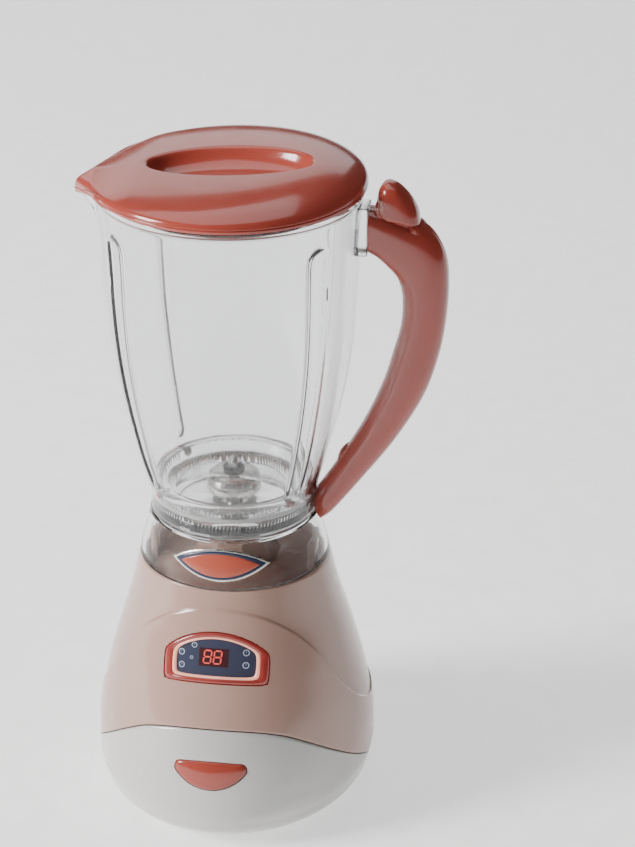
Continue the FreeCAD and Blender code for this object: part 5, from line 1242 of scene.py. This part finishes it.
    def lower(self) -> bpy.types.Object:
        """Skin of the white shell from the floor's edge to the seam, with the button's hole."""
        angle = circle(self.columns)[:, None]
        high = self.line_height(angle, self.seam) - self.parting
        foot_z = self.heights[0]
        z = foot_z + (high - foot_z) * np.linspace(0, 1, 74)[None, :]
        grid = self.skin(angle, z, self.proud - self.rounded(high - z))
        tuck = self.skin(angle, high, -self.edge_depth + 0 * high)
        under = self.skin(angle, foot_z - 0.05 + 0 * high, -2.0 + 0 * high)
        grid = np.concatenate([under, grid, tuck], axis=1)
        x, level = grid[..., 0].copy(), grid[..., 2].copy()
        gap = self.button_gap(x, level)
        near = (grid[..., 1] < 0) & (np.abs(gap) < 0.55)
        gx, gz = slope_of(self.button_gap, x, level)
        grid[..., 0] = np.where(near, x - gap * gx, x)
        grid[..., 2] = np.where(near, level - gap * gz, level)
        centre = ring_centres(grid)
        hidden = (self.button_gap(centre[..., 0], centre[..., 2]) < -0.02) & (centre[..., 1] < 0)
        return surface("base_lower_skin", grid, wrap_u=True, keep=~hidden, sharp=50.0)

    def button_gap(self, x: Grid, z: Grid) -> Grid:
        """Distance outside the button's half-moon outline, negative inside it.

        The outline is a slightly arched top with round corners over a circular arc, each as the larger
        of the distances to its lines.
        """
        half, corner = self.button_half, self.button_corner
        top = self.button_top_z - self.button_arch * (x / half) ** 2
        rise = self.button_side_z - self.button_foot_z
        bow = (half ** 2 + rise ** 2) / (2 * rise)
        below = np.sqrt(x ** 2 + (z - (self.button_foot_z + bow)) ** 2) - bow
        qx, qz = np.abs(x) - (half - corner), z - (top - corner)
        outside = np.sqrt(np.maximum(qx, 0) ** 2 + np.maximum(qz, 0) ** 2)
        above = outside + np.minimum(np.maximum(qx, qz), 0) - corner
        return np.maximum(np.where(z > self.button_side_z, -9.0, below), above)

    def cap(self) -> bpy.types.Object:
        """The button's pillowed cap: rays from its middle to its outline, domed, then down its side."""
        turn = circle(180)
        middle_z = self.button_middle_z

        def gap(a: Grid, b: Grid) -> Grid:
            """Distance outside the cap's edge, which lies inside the opening's."""
            return self.button_gap(a, middle_z + b) + self.button_gutter

        reach = ray_length(gap, turn, 2 * self.button_half)
        share = np.array([0.0, 0.2, 0.4, 0.58, 0.72, 0.83, 0.90, 0.95, 0.98, 1.0, 1.0, 1.0])
        out = np.array([1.15, 1.13, 1.08, 0.99, 0.87, 0.72, 0.55, 0.35, 0.12, -0.25, -1.2, -3.0])
        x = reach[:, None] * share * np.cos(turn)[:, None]
        z = middle_z + reach[:, None] * share * np.sin(turn)[:, None]
        w, d = self.half_sizes(z, self.proud)
        grid = np.stack([x, -d * np.sqrt(1 - (x / w) ** 2) - out, z], axis=-1)
        return surface("start_button_cap", grid, wrap_u=True, sharp=60.0)

    def groove(self) -> bpy.types.Object:
        """Dark strip at the bottom of the gap between the two shells: painted shade in the seam's groove."""
        angle = circle(self.columns)[:, None]
        z = self.line_height(angle, self.seam) + np.array([-0.6, -0.2, 0.2, 0.6])[None, :]
        return surface("base_seam_shadow", self.skin(angle, z, self.proud - 0.42 + 0 * z), wrap_u=True)

    def build(self) -> None:
        """Make and dress the skins, the shells under them, the button's cap and the seam."""
        dress(self.upper(), "base_upper", Finish.PINK, extra=True)
        dress(self.lower(), "base_lower", Finish.WHITE, extra=True)
        # The tucked pink shell takes the lighter copy of the pink, painted light on the top seen through the
        # collar.
        dress(self.tucked("base_upper"), "base_upper", Finish.PINK_PAINTED_LIGHT)
        dress(self.tucked("base_lower"), "base_lower", Finish.WHITE)
        # Painted shade: a dark strip laid in the seam's groove.
        dress(self.groove(), "base_upper", Finish.SEAM_SHADOW, extra=True)
        dress(self.cap(), "start_button", Finish.CORAL, extra=True)
        dress(self.tucked("start_button"), "start_button", Finish.CORAL)


# ---------------------------------------------------------------- display
@dataclass
class Display:
    """Lit display on the raised front: rounded bezel, bright inner line, sunk panel, digits, marks.

    Its pieces are laid out in (across, up) coordinates of the display's sloping plane, and their heights
    are taken from the skin.  Each of the rings is (across, up, radius), and the profiles are those that
    the ring method takes.
    """

    base: Base
    middle: float = -0.5
    side_band: float = 5.2
    edge_band: float = 2.9
    sunk: float = -1.0
    window_proud: float = 0.08
    mark_proud: float = 0.15
    digit_proud: float = 0.18
    digit_lefts: tuple = (-4.9, -0.7)
    digit_foot: float = -2.1
    digit_tall: float = 5.3
    digit_wide: float = 3.0
    digit_lean: float = 0.10
    bar_width: float = 0.62
    window_across: tuple = (-7.0, 5.3)
    window_up: tuple = (-3.4, 4.2)
    rings: tuple = ((-14.6, 1.7, 1.45), (-9.2, 5.0, 1.3), (-14.3, -3.6, 1.4), (-10.2, -0.3, 0.8),
                    (12.5, 3.1, 1.5), (12.6, -2.1, 1.5))
    bezel: tuple = ((-0.3, -1.1), (-0.02, -1.1), (0.0, -0.4), (0.03, 0.0), (0.09, 0.26), (0.20, 0.42),
                    (0.36, 0.46), (0.50, 0.36), (0.62, 0.14), (0.68, -0.04))
    line: tuple = ((0.68, -0.04), (0.74, 0.04), (0.82, 0.02), (0.90, -0.12), (0.97, -0.5), (1.0, -1.2))
    facing: tuple = (0.0, -1.0, 0.4)

    def outline(self, side_in: float, edge_in: float) -> Grid:
        """Closed outline as (across, up), with its sides and its foot and crown moved in."""
        turn = circle(288)

        def gap(a: Grid, b: Grid) -> Grid:
            """Distance outside the outline."""
            return self.base.display_gap(a, self.middle + b, side_in, edge_in)

        reach = ray_length(gap, turn, 2 * self.base.display_half)
        return np.stack([reach * np.cos(turn), self.middle + reach * np.sin(turn)], axis=1)

    def ring(self, name: str, profile: Sequence[tuple]) -> bpy.types.Object:
        """A band between the outer and the inner outline.

        Args:
            name: Name of the piece.
            profile: Pairs of a share, 0 at the outer and 1 at the inner outline, and a height.

        Returns:
            The new piece.
        """
        share, height = np.array(profile).T
        outer = self.outline(0.0, 0.0)[:, None, :]
        inner = self.outline(self.side_band, self.edge_band)[:, None, :]
        flat = outer + (inner - outer) * share[None, :, None]
        return surface(name, self.lifted(flat, height[None, :]), wrap_u=True, sharp=60.0)

    def lifted(self, flat: Grid, out: Grid) -> Grid:
        """Points over the display from their (across, up) coordinates and their heights."""
        return self.base.display_place(flat[..., 0], flat[..., 1], out + 0 * flat[..., 0])

    def sheet(self, a: Sequence[float], b: Sequence[float], out: float) -> Grid:
        """Grid of points over a rectangle of the display."""
        aa, bb = np.meshgrid(a, b, indexing="ij")
        return self.base.display_place(aa, bb, out + 0 * aa)

    def bar(self, start: tuple, end: tuple) -> Grid:
        """One pointed bar of a digit, between two points of the display."""
        start, end = np.array(start, float), np.array(end, float)
        along = (end - start) / np.linalg.norm(end - start)
        side = np.array([-along[1], along[0]]) * self.bar_width / 2
        share = np.array([0.06, 0.16, 0.5, 0.84, 0.94])[:, None, None]
        wide = np.array([0.0, 1.0, 1.0, 1.0, 0.0])[:, None, None]
        flat = start + (end - start) * share + side * wide * np.array([-1.0, 1.0])[None, :, None]
        flat[..., 0] += self.digit_lean * flat[..., 1]
        return self.lifted(flat, self.sunk + self.digit_proud)

    def digits(self) -> bpy.types.Object:
        """The number 88 in seven bars a digit."""
        grids = []
        low, high = self.digit_foot, self.digit_foot + self.digit_tall
        middle = (low + high) / 2
        for left in self.digit_lefts:
            right = left + self.digit_wide
            ends = [((left, up), (right, up)) for up in (low, middle, high)]
            ends += [((x, y0), (x, y1)) for x in (left, right) for y0, y1 in ((low, middle), (middle, high))]
            grids += [self.bar(*pair) for pair in ends]
        return sheets("display_digits", grids, self.facing)

    def marks(self) -> bpy.types.Object:
        """Pale ring marks beside the number: annuli with a short bar inside."""
        grids = []
        level = self.sunk + self.mark_proud
        turn = np.linspace(0, 2 * math.pi, 37)[:, None]
        for a, b, size in self.rings:
            r = size * np.array([0.66, 0.92])[None, :]
            grids.append(self.lifted(np.stack([a + r * np.cos(turn), b + r * np.sin(turn)], axis=-1), level))
            grids.append(self.sheet([a - 0.09, a + 0.09], [b - 0.1, b + 0.42 * size], level))
        return sheets("display_marks", grids, self.facing)

    def face(self) -> bpy.types.Object:
        """The sunk panel: rays from its middle to a little past the inner outline."""
        share = np.linspace(0, 1.04, 12)[None, :, None]
        middle = np.array([0.0, self.middle])
        flat = middle + (self.outline(self.side_band, self.edge_band)[:, None, :] - middle) * share
        return surface("display_face", self.lifted(flat, self.sunk), wrap_u=True, facing=self.facing)

    def build(self) -> None:
        """Make and dress the bezel, the line, the panel, the digit window, the digits and the marks."""
        dress(self.ring("display_bezel", self.bezel), "display_frame", Finish.FRAME)
        dress(self.ring("display_line", self.line), "display_frame", Finish.LINE, extra=True)
        dress(self.face(), "display_panel", Finish.PANEL)
        window = self.sheet(np.linspace(*self.window_across, 14), np.linspace(*self.window_up, 8),
                            self.sunk + self.window_proud)
        for piece, finish in ((sheets("display_window", [window], self.facing), Finish.WINDOW),
                              (self.digits(), Finish.DIGIT), (self.marks(), Finish.MARK)):
            dress(piece, "display_panel", finish, extra=True)


# ---------------------------------------------------------------- pieces kept from the solids
FINISH_OF = {
    "feet": Finish.RUBBER, "base_screws": Finish.STEEL, "switch_plunger": Finish.INNER,
    "batteries": Finish.CELL, "battery_box": Finish.INNER, "battery_contacts": Finish.STEEL,
    "battery_door": Finish.WHITE, "door_screw": Finish.STEEL, "motor_can": Finish.CAN,
    "motor_cradle": Finish.INNER, "cradle_screws": Finish.STEEL, "hub_bushing": Finish.ACETAL,
    "led_module": Finish.BLACK, "circuit_board": Finish.BOARD, "push_switch": Finish.BLACK,
    "button_spring": Finish.STEEL, "motor_shaft": Finish.STEEL, "drive_spindle": Finish.ACETAL,
    "blade_seat": Finish.CLEAR, "jar_gasket": Finish.SEAL, "seat_pins": Finish.PIN,
    "shaft_bushing": Finish.ACETAL, "shaft_seal": Finish.SEAL, "driven_coupling": Finish.ACETAL,
    "blade_shaft": Finish.STEEL, "blade_hub": Finish.SILVER, "blade_wings": Finish.WING,
    "blade_washer": Finish.BLACK, "blade_nut": Finish.STEEL, "handle_screws": Finish.STEEL,
    "thumb_pin": Finish.STEEL, "thumb_spring": Finish.STEEL,
}


def smooth_nodes() -> None:
    """Replace each CAD node that keeps its shape by its smooth-shaded copy."""
    for node, finish in FINISH_OF.items():
        piece = dress(refined(node), node, finish)
        if node == "button_spring":
            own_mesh(piece)


# ---------------------------------------------------------------- stage
@dataclass(frozen=True)
class Lamp:
    """One soft rectangular light: its place and aim in metres, width and height, watts and colour."""

    name: str
    place: tuple
    aim: tuple
    size: tuple
    power: float
    tint: tuple

    def build(self) -> None:
        """Add the light, turned to face its aim."""
        lamp = bpy.data.lights.new(self.name, "AREA")
        lamp.shape, lamp.energy, lamp.color = "RECTANGLE", self.power, self.tint
        lamp.size, lamp.size_y = self.size
        made = bpy.data.objects.new(self.name, lamp)
        made.location = self.place
        away = np.subtract(self.place, self.aim)
        flat = math.hypot(away[0], away[1])
        made.rotation_euler = (math.atan2(flat, away[2]), 0.0, math.atan2(away[0], -away[1]))
        bpy.context.scene.collection.objects.link(made)


@dataclass
class Studio:
    """Pale floor, soft lights and the camera."""

    camera_mm: tuple = (194.2, -1071.4, 703.9)
    pitch_deg: float = 26.23
    turn_deg: float = 8.44
    lens_mm: float = 124.4
    sky: float = 1.5
    sky_side: float = 1.0
    floor_glow: float = 0.8
    floor_half: float = 4000.0
    floor_z: float = -0.02
    lamps: tuple = (
        Lamp("window_left", (-1.5, -0.75, 0.95), (0, 0, 0.2), (0.55, 0.8), 60.0, (1.0, 0.985, 0.97)),
        Lamp("window_back", (-0.5, 1.9, 0.95), (0, 0, 0.25), (1.8, 0.8), 6.0, (1.0, 0.99, 0.98)),
        Lamp("ceiling", (-0.2, 0.3, 1.8), (0, 0, 0.1), (1.6, 1.6), 16.0, (1.0, 1.0, 1.0)))

    def floor(self) -> None:
        """Make the pale floor, which gives off a little light of its own."""
        reach = np.linspace(-self.floor_half, self.floor_half, 9)
        x, y = np.meshgrid(reach, reach, indexing="ij")
        floor = surface("floor", np.stack([x, y, 0 * x + self.floor_z], axis=-1))
        paper = MattPlastic("pale_floor", (0.93, 0.93, 0.925), rough=0.7, texture=0.05)
        floor.data.materials.append(paper.build())
        glow = floor.data.materials[0].node_tree.nodes["Principled BSDF"]
        glow.inputs["Emission Color"].default_value = (1.0, 1.0, 1.0, 1.0)
        glow.inputs["Emission Strength"].default_value = self.floor_glow

    def room(self) -> None:
        """Make the even surroundings, brighter on the left than on the right."""
        world = bpy.data.worlds.new("soft_room")
        bpy.context.scene.world = world
        world.use_nodes = True
        tree = world.node_tree
        way = tree.nodes.new("ShaderNodeTexCoord").outputs["Generated"]
        parts = tree.nodes.new("ShaderNodeSeparateXYZ")
        tree.links.new(way, parts.inputs[0])
        ramp = tree.nodes.new("ShaderNodeMapRange")
        ramp.interpolation_type = "SMOOTHSTEP"
        tree.links.new(parts.outputs["X"], ramp.inputs["Value"])
        for name, value in (("From Min", -0.8), ("From Max", 0.8), ("To Min", self.sky + self.sky_side),
                            ("To Max", self.sky - self.sky_side)):
            ramp.inputs[name].default_value = value
        tree.links.new(ramp.outputs["Result"], tree.nodes["Background"].inputs["Strength"])

    def camera(self) -> None:
        """Place the camera."""
        camera = bpy.data.cameras.new("camera")
        camera.sensor_fit, camera.sensor_height, camera.lens = "VERTICAL", 36.0, self.lens_mm
        camera.clip_start, camera.clip_end = 0.05, 30.0
        holder = bpy.data.objects.new("camera", camera)
        holder.location = [value * MM for value in self.camera_mm]
        holder.rotation_euler = (math.radians(90 - self.pitch_deg), 0.0, math.radians(self.turn_deg))
        bpy.context.scene.collection.objects.link(holder)
        bpy.context.scene.camera = holder

    def build(self) -> None:
        """Make the floor, the surroundings, the lights and the camera."""
        self.floor()
        self.room()
        for lamp in self.lamps:
            lamp.build()
        self.camera()


def main() -> None:
    """Build every sub-assembly in order."""
    logging.basicConfig(level=logging.INFO, format="%(message)s")
    Studio().build()
    smooth_nodes()
    base = Base()
    base.build()
    Display(base).build()
    Jar().build()
    Handle().build()
    Lid().build()


if __name__ == "__main__":
    main()
